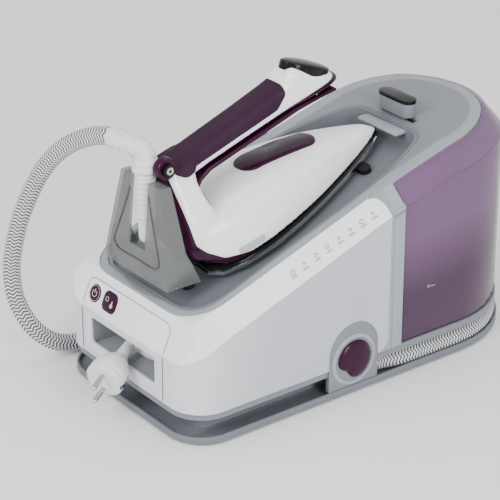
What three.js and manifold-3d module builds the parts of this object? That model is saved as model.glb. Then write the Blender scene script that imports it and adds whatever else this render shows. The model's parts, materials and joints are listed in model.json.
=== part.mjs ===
// Steam generator iron: a steam station with a water tank, and the iron that rests on it.
// Millimetres. X is the width, the control panel faces -Y, +Z is up.
// The origin is the middle of the base tray's outline, on the surface that the feet stand on.

import * as THREE from 'three';
import { mergeVertices } from 'three/addons/utils/BufferGeometryUtils.js';
import Module from 'manifold-3d';

const wasm = await Module();
wasm.setup();

// ---------------------------------------------------------------- driving dimensions

const GAP = 0.3;                    // space left between touching pieces
const WALL = 2.5;                   // moulded wall thickness

const BASE_LENGTH = 440;
const BASE_WIDTH = 220;
const TRAY_CORNER = 38;             // front corner radius of the tray
const FOOT_HEIGHT = 2;
const FLOOR_TOP = 4.5;              // top of the tray floor
const RIM_TOP = 9;                  // top of the tray rim
const PLINTH_BOTTOM = 26;           // roof of the hose channel
const BODY_BOTTOM = 33;             // lower edge of the housing and of the tank
const CHANNEL_DEPTH = 27;           // from the tray outline in to the channel's back wall

const HALF_LENGTH = BASE_LENGTH / 2;
const HALF_WIDTH = BASE_WIDTH / 2;
const REAR_CENTRE = HALF_LENGTH - HALF_WIDTH;   // centre of the round rear end

const HOUSING_INSET = 1;            // housing side inside the tray outline
const HOUSING_CORNER = 34;
const HOUSING_END = 18;             // rear edge of the white side panels
const TANK_FRONT = 31;              // front edge of the tank's arms
const DECK_HALF = 88;               // half width of the grey top
const DECK_FRONT = -203;
const DECK_THICK = 3.5;

const CREST_AT_ZERO = 189;          // height of the deck's edge at y = 0
const CREST_SLOPE = 0.35;
const CREASE_DROP = 19;             // from the deck's edge down to the side crease
const FASCIA_CREASE = 81.5;         // where the front face starts to lean back
const HIGH = 300;                   // above everything on the base
const WIDE = 260;                   // beyond everything on the base

const CORE_HALF = 64;               // block between the tank's arms
const TANK_INNER = CORE_HALF + 2.5;
const TANK_BAND = 19;               // height of the tank's cover band

const REST_SLOPE = Math.tan(THREE.MathUtils.degToRad(16.5));
const REST_AT_ZERO = 170.5;         // height of the iron rest's floor at y = 0
const RECESS_END = 101;

const TANK_VALVE = { x: 88, y: 44 };
const WINDOW = { x0: -56, x1: 49, z0: 47, z1: 74 };
const FASCIA = { x0: -71, x1: 62, top: 109 };

const KNOB = { y: -29.5, z: 37 };   // drain knob centre on the right side
const KNOB_PANEL = { half: 30, x0: 103.9, x1: 108.9 };

const IRON_TIP = new THREE.Vector3(0, 89, 203);  // front tip of the soleplate's underside
const IRON_TILT = THREE.MathUtils.degToRad(16.5);

const HOSE_RADIUS = 8.8;
const LEAD_RADIUS = 3.5;
const GLAND = { x: -30, y: -84, z: 65 };   // where the mains lead enters the station
const COIL = { x: -4, y: -146.5, z: 45.3, inner: 29.5, outer: 50.5, height: 14 };
const PLUG_CENTRE = new THREE.Vector3(5, -238, 48);
const PLUG_AXIS = new THREE.Vector3(0.38, -0.86, -0.34).normalize();

// ---------------------------------------------------------------- materials

const paint = (color, roughness = 0.4, metalness = 0, opacity = 1) =>
  new THREE.MeshStandardMaterial({ color, roughness, metalness, opacity, transparent: opacity < 1 });

const WHITE = () => paint(0xeeeef0, 0.25);
const GREY = () => paint(0x9aa3ab, 0.45);
const DARK_GREY = () => paint(0x6c757e, 0.5);
const PURPLE = () => paint(0x3c1438, 0.35);
const SOFT_PURPLE = () => paint(0x553a5a, 0.7);
const CLEAR_PURPLE = () => paint(0x7d6590, 0.12, 0, 0.5);
const CLEAR_SMOKE = () => paint(0xb4b9bc, 0.08, 0, 0.4);
const BLACK = () => paint(0x17171a, 0.25);
const RUBBER = () => paint(0x24242a, 0.85);
const STEEL = () => paint(0xc4c6ca, 0.25, 1);
const BRASS = () => paint(0xb79a58, 0.35, 1);
const BOARD = () => paint(0x1f5a3a, 0.6);

// ---------------------------------------------------------------- solids

// A closed geometry as a manifold solid, with its shared corners merged.
function solid(geometry) {
  const bare = geometry.clone();
  bare.deleteAttribute('normal');
  bare.deleteAttribute('uv');
  const merged = mergeVertices(bare, 1e-4);
  return new wasm.Manifold(new wasm.Mesh({
    numProp: 3,
    vertProperties: new Float32Array(merged.attributes.position.array),
    triVerts: new Uint32Array(merged.index.array),
  }));
}

function geometryOf(manifold) {
  const mesh = manifold.getMesh();
  const geometry = new THREE.BufferGeometry();
  geometry.setAttribute('position', new THREE.BufferAttribute(new Float32Array(mesh.vertProperties), 3));
  geometry.setIndex(new THREE.BufferAttribute(new Uint32Array(mesh.triVerts), 1));
  geometry.computeVertexNormals();
  return geometry;
}

const join = (...parts) => geometryOf(parts.map(solid).reduce((a, b) => a.add(b)));
const cut = (body, ...tools) => geometryOf(tools.map(solid).reduce((a, b) => a.subtract(b), solid(body)));
const common = (...parts) => geometryOf(parts.map(solid).reduce((a, b) => a.intersect(b)));

function box(x0, x1, y0, y1, z0, z1) {
  const geometry = new THREE.BoxGeometry(x1 - x0, y1 - y0, z1 - z0);
  return geometry.translate((x0 + x1) / 2, (y0 + y1) / 2, (z0 + z1) / 2);
}

// A cylinder along 'x', 'y' or 'z', centred on the given point.
function rod(axis, radius, length, x, y, z, sides = 20) {
  const geometry = new THREE.CylinderGeometry(radius, radius, length, sides);
  if (axis === 'x') geometry.rotateZ(Math.PI / 2);
  if (axis === 'z') geometry.rotateX(Math.PI / 2);
  return geometry.translate(x, y, z);
}

const outline = (points) => new THREE.Shape(points.map(([a, b]) => new THREE.Vector2(a, b)));

function extrude(shape, depth, curveSegments = 6) {
  return new THREE.ExtrudeGeometry(shape, { depth, bevelEnabled: false, curveSegments });
}

// A shape drawn in (x, y), raised from z0 to z1.
const planSolid = (shape, z0, z1, segments) => extrude(shape, z1 - z0, segments).translate(0, 0, z0);

// A shape drawn in (y, z), spread from x0 to x1.
function sideSolid(shape, x0, x1, segments) {
  const turn = new THREE.Matrix4().set(0, 0, 1, x0, 1, 0, 0, 0, 0, 1, 0, 0, 0, 0, 0, 1);
  return extrude(shape, x1 - x0, segments).applyMatrix4(turn);
}

// A shape drawn in (x, z), spread from y0 to y1.
function frontSolid(shape, y0, y1, segments) {
  const turn = new THREE.Matrix4().set(1, 0, 0, 0, 0, 0, -1, y1, 0, 1, 0, 0, 0, 0, 0, 1);
  return extrude(shape, y1 - y0, segments).applyMatrix4(turn);
}

function roundedRect(x0, x1, y0, y1, r) {
  const shape = new THREE.Shape();
  shape.moveTo(x0 + r, y0);
  shape.lineTo(x1 - r, y0);
  shape.absarc(x1 - r, y0 + r, r, -Math.PI / 2, 0);
  shape.lineTo(x1, y1 - r);
  shape.absarc(x1 - r, y1 - r, r, 0, Math.PI / 2);
  shape.lineTo(x0 + r, y1);
  shape.absarc(x0 + r, y1 - r, r, Math.PI / 2, Math.PI);
  shape.lineTo(x0, y0 + r);
  shape.absarc(x0 + r, y0 + r, r, Math.PI, 1.5 * Math.PI);
  return shape;
}

// Rounded front, straight sides and a half round rear end.
function baseOutline(halfWidth, frontY, corner, rearCentre = REAR_CENTRE) {
  const shape = new THREE.Shape();
  shape.moveTo(-halfWidth + corner, frontY);
  shape.lineTo(halfWidth - corner, frontY);
  shape.absarc(halfWidth - corner, frontY + corner, corner, -Math.PI / 2, 0);
  shape.lineTo(halfWidth, rearCentre);
  shape.absarc(0, rearCentre, halfWidth, 0, Math.PI);
  shape.lineTo(-halfWidth, frontY + corner);
  shape.absarc(-halfWidth + corner, frontY + corner, corner, Math.PI, 1.5 * Math.PI);
  return shape;
}

const trayOutline = (inset) =>
  baseOutline(HALF_WIDTH - inset, -HALF_LENGTH + inset, Math.max(TRAY_CORNER - inset, 8));

const OUTLINE_SEGMENTS = 9;
const trayPlan = (inset, z0, z1) => planSolid(trayOutline(inset), z0, z1, OUTLINE_SEGMENTS);

// A closed skin over a row of matching convex sections, each a list of Vector3.
function loft(sections) {
  const count = sections[0].length;
  const positions = sections.flat().flatMap((p) => [p.x, p.y, p.z]);
  const index = [];
  for (let s = 0; s < sections.length - 1; s += 1) {
    for (let i = 0; i < count; i += 1) {
      const a = s * count + i;
      const b = s * count + (i + 1) % count;
      index.push(a, b, b + count, a, b + count, a + count);
    }
  }
  const last = (sections.length - 1) * count;
  for (let i = 1; i < count - 1; i += 1) {
    index.push(0, i + 1, i);
    index.push(last, last + i, last + i + 1);
  }
  const geometry = new THREE.BufferGeometry();
  geometry.setAttribute('position', new THREE.Float32BufferAttribute(positions, 3));
  geometry.setIndex(index);
  return geometry;
}

// A round tube through hand-set points.
function tubeAlong(points, radius, steps, sides = 8) {
  const path = new THREE.CatmullRomCurve3(points.map(([x, y, z]) => new THREE.Vector3(x, y, z)), false,
    'centripetal');
  const ring = [];
  for (let i = 0; i < sides; i += 1) {
    const angle = (2 * Math.PI * i) / sides;
    ring.push([radius * Math.cos(angle), radius * Math.sin(angle)]);
  }
  return new THREE.ExtrudeGeometry(outline(ring), { steps, extrudePath: path });
}

// A turned piece; the profile is [radius, height] pairs and runs along +Z.
function turned(profile, segments = 20) {
  const points = profile.map(([r, h]) => new THREE.Vector2(r, h));
  return new THREE.LatheGeometry(points, segments).rotateX(Math.PI / 2);
}

// Turns a piece made along +Z so that it runs along a direction from a point.
function aim(geometry, direction, origin) {
  const turn = new THREE.Quaternion().setFromUnitVectors(new THREE.Vector3(0, 0, 1), direction);
  return geometry.applyQuaternion(turn).translate(origin.x, origin.y, origin.z);
}

// ---------------------------------------------------------------- assembly helpers

const model = new THREE.Group();
const station = new THREE.Group();
const iron = new THREE.Group();
iron.position.copy(IRON_TIP);
iron.rotation.x = IRON_TILT;
model.add(station);
model.add(iron);

function add(group, name, geometry, material) {
  const mesh = new THREE.Mesh(geometry, material);
  mesh.name = name;
  group.add(mesh);
  return mesh;
}

// ---------------------------------------------------------------- station: shared shapes

// The deck's edge line, seen from the side: straight up the slope, then levelling to the rear.
const CREST = [
  [-240, CREST_AT_ZERO - 240 * CREST_SLOPE],
  [0, CREST_AT_ZERO],
  [60, 206],
  [102, 218.5],
  [136, 224.5],
  [171, 230],
  [230, 232],
];

// Everything under the deck's edge line lowered by drop, or over it when above is true.
function crestSolid(drop, x = WIDE / 2, from = 0) {
  const line = CREST.map(([y, z]) => [y, z - drop]);
  return sideSolid(outline([[-240, from], [230, from], ...line.slice().reverse()]), -x, x);
}

function crestSlab(top, thickness) {
  return cut(crestSolid(top), crestSolid(top + thickness, WIDE, -1));
}

// Housing envelope, inset by t: plan outline, side crease under the deck's edge, leaning front.
function housingEnvelope(t, bottom) {
  const half = HALF_WIDTH - HOUSING_INSET - t;
  const plan = planSolid(baseOutline(half, -half - REAR_CENTRE, HOUSING_CORNER - t), bottom, HIGH,
    OUTLINE_SEGMENTS);
  const crease = CREST_AT_ZERO - CREASE_DROP;
  const section = outline([
    [-half, -100],
    [half, -100],
    [half, crease],
    [DECK_HALF - t, CREST_AT_ZERO - t],
    [-DECK_HALF + t, CREST_AT_ZERO - t],
    [-half, crease],
  ]);
  const shear = new THREE.Matrix4().set(1, 0, 0, 0, 0, 1, 0, 0, 0, CREST_SLOPE, 1, 0, 0, 0, 0, 1);
  const ridge = frontSolid(section, -WIDE, HOUSING_END).applyMatrix4(shear);
  const frontY = -half - REAR_CENTRE;
  const front = sideSolid(outline([
    [frontY, 0],
    [HOUSING_END, 0],
    [HOUSING_END, HIGH],
    [DECK_FRONT + t + 80, HIGH],
    [DECK_FRONT + t, CREST_AT_ZERO + CREST_SLOPE * DECK_FRONT],
    [frontY, FASCIA_CREASE],
  ]), -WIDE, WIDE);
  return common(plan, ridge, front);
}

const deckOutline = (grow) =>
  baseOutline(DECK_HALF - GAP + grow, DECK_FRONT + GAP - grow, 36 + grow, RECESS_END + 4);

function recessOutline(grow) {
  const shape = new THREE.Shape();
  const front = -195 - grow;
  const side = 80 + grow;
  const back = RECESS_END + grow;
  const narrow = 46 + grow;
  shape.moveTo(-side + 34, front);
  shape.lineTo(side - 34, front);
  shape.quadraticCurveTo(side, front, side, front + 34);
  shape.lineTo(side - 2, -10);
  shape.quadraticCurveTo(side - 4, 40, narrow + 10, back - 14);
  shape.quadraticCurveTo(narrow + 4, back, narrow - 10, back);
  shape.lineTo(-narrow + 10, back);
  shape.quadraticCurveTo(-narrow - 4, back, -narrow - 10, back - 14);
  shape.quadraticCurveTo(-side + 4, 40, -side + 2, -10);
  shape.lineTo(-side, front + 34);
  shape.quadraticCurveTo(-side, front, -side + 34, front);
  return shape;
}

// ---------------------------------------------------------------- station: tray and feet

function baseTray() {
  const floor = trayPlan(0, FOOT_HEIGHT, FLOOR_TOP);
  const rim = cut(trayPlan(0, FLOOR_TOP - 1, RIM_TOP), trayPlan(2.5, 0, HIGH));
  const core = cut(
    trayPlan(CHANNEL_DEPTH, FLOOR_TOP - 1, PLINTH_BOTTOM - GAP),
    trayPlan(CHANNEL_DEPTH + WALL, FLOOR_TOP - 1.5, HIGH),
  );
  const hoseExit = box(-HALF_WIDTH - 1, -HALF_WIDTH + 6, -118, -30, FLOOR_TOP, HIGH);
  return cut(join(floor, rim, core), hoseExit);
}
add(station, 'base_tray', baseTray(), GREY());

const FEET = { front_right: [78, -180], front_left: [-78, -180], rear_right: [66, 150],
  rear_left: [-66, 150] };
for (const [place, [x, y]] of Object.entries(FEET)) {
  const height = FOOT_HEIGHT - GAP;
  add(station, `foot_${place}`, rod('z', 9, height, x, y, height / 2, 16), RUBBER());
}

function plinth() {
  const ring = cut(
    trayPlan(2.5, PLINTH_BOTTOM, BODY_BOTTOM - GAP),
    trayPlan(CHANNEL_DEPTH + 8, 0, HIGH),
  );
  const knobRoom = box(KNOB_PANEL.x0 - 0.4, WIDE, KNOB.y - KNOB_PANEL.half - GAP,
    KNOB.y + KNOB_PANEL.half + GAP, 0, HIGH);
  return cut(ring, knobRoom, rod('z', 6.5, 30, TANK_VALVE.x, TANK_VALVE.y, BODY_BOTTOM));
}
add(station, 'plinth', plinth(), GREY());

// ---------------------------------------------------------------- station: housing

const fasciaBlock = (grow) => planSolid(
  roundedRect(FASCIA.x0 - grow, FASCIA.x1 + grow, -230, -190, 3), BODY_BOTTOM + 3 - grow,
    FASCIA.top + grow);
const windowBlock = (grow) => frontSolid(
  roundedRect(WINDOW.x0 - grow, WINDOW.x1 + grow, WINDOW.z0 - grow, WINDOW.z1 + grow, 4 + grow), -230,
    -190);

const knobPanelShape = (grow) => {
  const shape = new THREE.Shape();
  const half = KNOB_PANEL.half + grow;
  shape.moveTo(KNOB.y - half, RIM_TOP + GAP - grow);
  shape.lineTo(KNOB.y + half, RIM_TOP + GAP - grow);
  shape.lineTo(KNOB.y + half, KNOB.z + 9);
  shape.absarc(KNOB.y, KNOB.z + 9, half, 0, Math.PI);
  return shape;
};

function housingShell() {
  return cut(housingEnvelope(0, BODY_BOTTOM), housingEnvelope(WALL, 0));
}

function mainHousing() {
  return cut(
    housingShell(),
    planSolid(deckOutline(2 * GAP), 100, HIGH, OUTLINE_SEGMENTS),
    fasciaBlock(GAP),
    sideSolid(knobPanelShape(GAP), KNOB_PANEL.x0 - GAP, WIDE),
    box(-WIDE, WIDE, HOUSING_END - 0.1, WIDE, 0, HIGH),
  );
}
add(station, 'main_housing', mainHousing(), WHITE());

// Frame of the leaning part of the control panel.
const LEAN = Math.atan2(DECK_FRONT + HALF_LENGTH - HOUSING_INSET,
  CREST_AT_ZERO + CREST_SLOPE * DECK_FRONT - FASCIA_CREASE);
const LEAN_FRONT = -HALF_LENGTH + HOUSING_INSET;

// Puts a piece made in (x, height up the lean, out of the panel) onto the leaning face.
function onLean(geometry) {
  const up = new THREE.Vector3(0, Math.sin(LEAN), Math.cos(LEAN));
  const out = new THREE.Vector3(0, -Math.cos(LEAN), Math.sin(LEAN));
  const frame = new THREE.Matrix4().makeBasis(new THREE.Vector3(1, 0, 0), up, out);
  frame.setPosition(0, LEAN_FRONT, FASCIA_CREASE);
  return geometry.applyMatrix4(frame);
}

const POWER = { x: -57.3, up: 16.4, r: 8.6 };
const MODE = { x0: -43.3, x1: -21.7, up0: 6.6, up1: 26.4 };

const powerDisc = (grow, z0, z1) => onLean(rod('z', POWER.r + grow, z1 - z0, POWER.x, POWER.up,
  (z0 + z1) / 2, 24));
const modePad = (grow, z0, z1) => onLean(planSolid(
  roundedRect(MODE.x0 - grow, MODE.x1 + grow, MODE.up0 - grow, MODE.up1 + grow, 6.5 + grow), z0, z1, 4));

function controlPanel() {
  return cut(
    common(housingShell(), fasciaBlock(0)),
    windowBlock(0),
    powerDisc(GAP, -10, 10),
    modePad(GAP, -10, 10),
  );
}
add(station, 'control_panel', controlPanel(), WHITE());
add(station, 'power_button', powerDisc(0, -5, 0.8), PURPLE());
add(station, 'mode_button', modePad(0, -5, 0.8), PURPLE());

function cordCompartment() {
  const outer = box(WINDOW.x0 - 2, WINDOW.x1 + 2, -216, -92, 43, 76);
  const inner = box(WINDOW.x0, WINDOW.x1, -230, -94.5, 45, 74);
  return cut(outer, inner, rod('y', 5.3, 20, GLAND.x, -92, GLAND.z));
}
add(station, 'cord_compartment', cordCompartment(), GREY());

// ---------------------------------------------------------------- station: top deck and iron rest

const LOCK = { y: 112, travel: 15, height: 14 };

function topDeck() {
  const slab = common(crestSlab(0, DECK_THICK), planSolid(deckOutline(0), 50, HIGH, OUTLINE_SEGMENTS));
  return cut(
    slab,
    planSolid(recessOutline(GAP), 0, HIGH, 5),
    box(-12.4, 12.4 + LOCK.travel, LOCK.y - 3.4, LOCK.y + 3.4, 0, HIGH),
  );
}

const restZ = (y) => REST_AT_ZERO + REST_SLOPE * y;

function belowRest(drop) {
  return sideSolid(outline([[-230, 0], [200, 0], [200, restZ(200) - drop], [-230,
    restZ(-230) - drop]]), -WIDE, WIDE);
}

const TONGUE = { half: 29, z0: 210.9, z1: 214.1 };

// A pair of rubber pads that the soleplate stands on, pulled through the floor from a strip below it.
const PADS = [{ name: 'front_rest_pads', x: 24, y: -163 }, { name: 'rear_rest_pads', x: 27, y: 47 }];
const onRest = (geometry, y) => geometry.rotateX(IRON_TILT).translate(0, y, restZ(y));
const padStem = (x, radius) => rod('z', radius, 12, x, 0, -2);

function ironRest() {
  const floor = cut(common(planSolid(recessOutline(0), 0, HIGH, 5), belowRest(0)), belowRest(WALL));
  const wall = cut(
    common(planSolid(recessOutline(0), 0, HIGH, 5), crestSolid(0.8)),
    planSolid(recessOutline(-WALL), 0, HIGH, 5),
    belowRest(WALL),
  );
  const slot = box(-TONGUE.half - 0.6, TONGUE.half + 0.6, 90, 140, TONGUE.z0 - 0.4, TONGUE.z1 + 0.4);
  const padHoles = PADS.map(({ x, y }) => onRest(join(padStem(-x, 3 + GAP), padStem(x, 3 + GAP)), y));
  return cut(join(floor, wall), slot, ...padHoles);
}

function restPads({ x, y }) {
  const rise = 6 * Math.cos(IRON_TILT) - GAP;
  const pad = (side) => planSolid(roundedRect(side * x - 9, side * x + 9, -6, 6, 5.9), GAP, rise, 4);
  const strip = box(-x - 5, x + 5, -5, 5, -WALL - 2.5, -WALL - GAP);
  const stems = cut(join(padStem(-x, 3), padStem(x, 3)), box(-90, 90, -20, 20, -30, -WALL - 2.4));
  return onRest(join(pad(-1), pad(1), stems, strip), y);
}

add(station, 'top_deck', topDeck(), GREY());
add(station, 'iron_rest', ironRest(), GREY());
for (const pair of PADS) add(station, pair.name, restPads(pair), RUBBER());

// ---------------------------------------------------------------- station: lock

function lockTongue() {
  const plate = box(-TONGUE.half, TONGUE.half, 85.3, 128, TONGUE.z0, TONGUE.z1);
  const lead = sideSolid(outline([[84, TONGUE.z0 + 1.6], [90, TONGUE.z1 + 0.5], [84,
    TONGUE.z1 + 0.5]]), -WIDE, WIDE);
  return cut(plate, lead);
}
add(station, 'lock_tongue', lockTongue(), GREY());

const deckZ = (y) => {
  const next = CREST.findIndex(([cy]) => cy >= y);
  const [y0, z0] = CREST[next - 1];
  const [y1, z1] = CREST[next];
  return z0 + ((z1 - z0) * (y - y0)) / (y1 - y0);
};

const LOCK_BASE = deckZ(LOCK.y + 8) + 0.6;
const pill = (half, r, z0, z1, y) => planSolid(roundedRect(-half, half, y - r, y + r, r - 0.01), z0,
  z1, 5);

function lockSlider() {
  const neck = box(-12, 12, LOCK.y - 3, LOCK.y + 3, TONGUE.z1 + GAP, LOCK_BASE + 1);
  return join(pill(23, 7.2, LOCK_BASE, LOCK_BASE + LOCK.height, LOCK.y), neck);
}
add(station, 'lock_slider', lockSlider(), GREY());
add(station, 'lock_cap', pill(24, 8.2, LOCK_BASE + LOCK.height + GAP, LOCK_BASE + LOCK.height + 4,
  LOCK.y), BLACK());

// ---------------------------------------------------------------- station: rear housing and tank

// Room for the iron rest's pan, with clearance g around it.
const restRoom = (g) => cut(planSolid(recessOutline(g), 0, HIGH, 5), belowRest(WALL + g));

function rearHousing() {
  const half = HALF_WIDTH - HOUSING_INSET;
  const coreShape = baseOutline(CORE_HALF, TANK_FRONT - 6, 3);
  const coreInner = baseOutline(CORE_HALF - WALL, 0, 3);
  const columns = box(-half, half, HOUSING_END + GAP, TANK_FRONT - GAP, BODY_BOTTOM, HIGH);
  const hollow = box(-half + WALL, half - WALL, 0, TANK_FRONT - GAP - WALL, 0, HIGH);
  const body = join(columns, planSolid(coreShape, BODY_BOTTOM, HIGH, OUTLINE_SEGMENTS));
  const shell = cut(body, hollow, planSolid(coreInner, 0, HIGH, OUTLINE_SEGMENTS), restRoom(GAP));
  return common(shell, crestSolid(DECK_THICK + GAP));
}
add(station, 'rear_housing', rearHousing(), GREY());

const tankPlan = (grow, z0, z1) => {
  const outer = planSolid(baseOutline(HALF_WIDTH - 4 + grow, TANK_FRONT - grow, 5), z0, z1, 12);
  const inner = planSolid(baseOutline(TANK_INNER - grow, 0, 5), 0, HIGH, 12);
  return cut(outer, inner);
};

function waterTank() {
  const outer = common(tankPlan(0, BODY_BOTTOM, HIGH), crestSolid(DECK_THICK + TANK_BAND));
  const inner = tankPlan(-WALL, BODY_BOTTOM + 3, HIGH);
  return cut(outer, inner, rod('z', 6, 20, TANK_VALVE.x, TANK_VALVE.y, BODY_BOTTOM));
}

const aboveCrest = (drop) => cut(box(-WIDE, WIDE, -239, 229, 10, HIGH), crestSolid(drop, WIDE + 1, -1));

// A ring of the tank's outline at a given half width, lowered from the deck's edge line.
function crestRing(half, frontY, drop) {
  const points = baseOutline(half, frontY, 5).extractPoints(12).shape;
  return points.map((p) => new THREE.Vector3(p.x, p.y, deckZ(p.y) - drop));
}

// Sloping envelope of the tank's upper band, inset by t.
function bandEnvelope(t) {
  const low = HALF_WIDTH - 4 - t;
  const high = DECK_HALF + 0.4 - t;
  const front = TANK_FRONT + t;
  return loft([
    crestRing(low, front, DECK_THICK + TANK_BAND + 30),
    crestRing(low, front, DECK_THICK + TANK_BAND),
    crestRing(high, front, 1),
    crestRing(high, front, -20),
  ]);
}

// The welded upper band: a shell that slopes in to the deck's edge and runs on under the deck.
function tankCover() {
  const under = DECK_THICK + 1;
  const core = planSolid(baseOutline(TANK_INNER, 0, 5), 0, HIGH, 12);
  const room = planSolid(baseOutline(TANK_INNER + WALL, 0, 5), 0, HIGH, 12);
  const deckRoom = common(planSolid(deckOutline(2 * GAP), 0, HIGH, OUTLINE_SEGMENTS), aboveCrest(under));
  const outer = cut(common(bandEnvelope(0), crestSolid(1.2)), crestSolid(DECK_THICK + TANK_BAND - GAP,
    WIDE, -1), core);
  const hollow = cut(common(bandEnvelope(WALL), crestSolid(under + WALL)), restRoom(GAP + WALL), room);
  const filler = planSolid(roundedRect(-28, 28, 180, 192, 5), 0, HIGH);
  return cut(outer, deckRoom, hollow, filler, restRoom(GAP));
}
add(station, 'water_tank', waterTank(), CLEAR_PURPLE());
add(station, 'tank_cover', tankCover(), CLEAR_PURPLE());

const tankValve = turned([[0, -1], [4.5, -1], [4.5, 7], [5.6, 7], [5.6, 9], [0, 9]],
  16).translate(TANK_VALVE.x, TANK_VALVE.y, BODY_BOTTOM + 1);
add(station, 'tank_valve', tankValve, BLACK());

// ---------------------------------------------------------------- station: drain knob

function discShape(radius) {
  const shape = new THREE.Shape();
  shape.absarc(KNOB.y, KNOB.z, radius, 0, 2 * Math.PI);
  return shape;
}

function knobPanel() {
  const plate = sideSolid(knobPanelShape(0), KNOB_PANEL.x0, KNOB_PANEL.x1, 8);
  const bezel = sideSolid(discShape(25.3), KNOB_PANEL.x1 - 1, KNOB_PANEL.x1 + 0.9, 12);
  return cut(join(plate, bezel), sideSolid(discShape(22.2), 0, WIDE, 12));
}

// Three-lobed grip: the radius swells three times in a turn.
function knobShape() {
  const points = [];
  const steps = 36;
  for (let i = 0; i < steps; i += 1) {
    const angle = (2 * Math.PI * i) / steps;
    const radius = 18.8 + 1.9 * Math.cos(3 * angle + 0.5);
    points.push([KNOB.y + radius * Math.cos(angle), KNOB.z + radius * Math.sin(angle)]);
  }
  return outline(points);
}

add(station, 'knob_panel', knobPanel(), GREY());
add(station, 'drain_knob', join(
  sideSolid(knobShape(), 104.4, 109.8),
  rod('x', 4, 18, 95.5, KNOB.y, KNOB.z),
), PURPLE());

// ---------------------------------------------------------------- station: inner works

const BOILER = { x: -8, y: -29, z: 88, r: 46, half: 58 };

function boiler() {
  const { r, half } = BOILER;
  const shell = turned([[0, -half], [r - 9, -half], [r, -half + 9], [r, half - 9], [r - 9, half], [0,
    half]], 28);
  const bore = turned([[0, -half + 2], [r - 10, -half + 2], [r - 2, -half + 10], [r - 2, half - 10],
    [r - 10, half - 2], [0, half - 2]], 28);
  const place = (geometry) => geometry.rotateY(Math.PI / 2).translate(BOILER.x, BOILER.y, BOILER.z);
  const outlet = rod('z', 7, 12, BOILER.x, BOILER.y, BOILER.z + r);
  const drain = rod('x', 7, 12, BOILER.x + half, BOILER.y, KNOB.z + 18);
  return cut(
    join(place(shell), outlet, drain),
    place(bore),
    rod('z', 4.5, 30, BOILER.x, BOILER.y, BOILER.z + r),
    rod('x', 4.5, 30, BOILER.x + half, BOILER.y, KNOB.z + 18),
  );
}
add(station, 'boiler', boiler(), STEEL());

function boilerBrackets() {
  const bracket = (x) => cut(
    box(x - 4, x + 4, BOILER.y - 34, BOILER.y + 34, FLOOR_TOP + GAP, BOILER.z - 20),
    rod('x', BOILER.r + 2 * GAP, 200, BOILER.x, BOILER.y, BOILER.z, 28),
  );
  const base = box(BOILER.x - 34, BOILER.x + 34, BOILER.y - 34, BOILER.y + 34, FLOOR_TOP + GAP,
    FLOOR_TOP + 3);
  return join(bracket(BOILER.x - 34), bracket(BOILER.x + 34), base);
}
add(station, 'boiler_brackets', boilerBrackets(), STEEL());

function boilerHeater() {
  const bend = [[-50, -8], [30, -8], [40, 0], [30, 8], [-50, 8]];
  const points = bend.map(([x, y]) => [BOILER.x + x, BOILER.y + y, BOILER.z - 18]);
  return tubeAlong(points, 4, 16);
}
add(station, 'boiler_heater', boilerHeater(), STEEL());

add(station, 'drain_pipe', tubeAlong([
  [BOILER.x + BOILER.half + 7.2, BOILER.y, KNOB.z + 18],
  [BOILER.x + BOILER.half + 14, BOILER.y, KNOB.z + 17],
  [73, BOILER.y, KNOB.z + 8],
  [80, BOILER.y, KNOB.z + 2.5],
  [85.8, BOILER.y, KNOB.z + 1.5],
], 5, 10), BRASS());

const PUMP = { x: 28, y: 92, z: 70 };
add(station, 'pump', join(
  rod('y', 19, 52, PUMP.x, PUMP.y, PUMP.z, 24),
  rod('y', 9, 74, PUMP.x, PUMP.y, PUMP.z, 16),
  box(PUMP.x - 14, PUMP.x + 14, PUMP.y - 12, PUMP.y + 12, PUMP.z - 22, PUMP.z + 22),
), paint(0x2f3338, 0.5));

const VALVE = { x: -28, y: 66, z: 62 };
add(station, 'steam_valve', join(
  box(VALVE.x - 14, VALVE.x + 14, VALVE.y - 12, VALVE.y + 12, VALVE.z - 12, VALVE.z + 10),
  rod('z', 11, 34, VALVE.x, VALVE.y, VALVE.z + 22, 20),
), BRASS());

add(station, 'steam_pipe', tubeAlong([
  [BOILER.x, BOILER.y, BOILER.z + BOILER.r + 6.4],
  [BOILER.x, BOILER.y + 2, BOILER.z + BOILER.r + 13],
  [BOILER.x - 4, BOILER.y + 20, BOILER.z + BOILER.r + 16],
  [-22, 26, 128],
  [VALVE.x, 52, 112],
  [VALVE.x, VALVE.y - 1, 107],
  [VALVE.x, VALVE.y, VALVE.z + 40.2],
], 3.6, 22), STEEL());

add(station, 'water_pipe', tubeAlong([
  [PUMP.x, PUMP.y - 38.4, PUMP.z],
  [PUMP.x + 2, 44, PUMP.z],
  [PUMP.x + 6, 30, PUMP.z + 4],
  [BOILER.x + 50, 24, BOILER.z + 4],
], 3.6, 12), paint(0xdadada, 0.6));

function controlBoard() {
  const board = onLean(planSolid(roundedRect(-70, 20, 1, 30, 2), -10.5, -8.5));
  const chips = [-60, -38, -6, 8].map((x) => onLean(box(x, x + 9, 9, 19, -8.6, -6)));
  return join(board, ...chips);
}
add(station, 'control_board', controlBoard(), BOARD());

// ---------------------------------------------------------------- station: lead and plug

add(station, 'cord_gland', aim(
  turned([[0, -4], [6.5, -4], [6.5, -0.5], [5, 0], [5, 14], [0, 14]], 14),
  new THREE.Vector3(0, -1, 0), new THREE.Vector3(GLAND.x, GLAND.y, GLAND.z),
), BLACK());

function coilRing() {
  const { inner, outer, height } = COIL;
  const ring = [[inner, 0], [outer, 0], [outer, height], [inner, height], [inner, 0]];
  return turned(ring, 32).translate(COIL.x, COIL.y, COIL.z);
}
add(station, 'mains_coil', coilRing(), WHITE());

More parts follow.
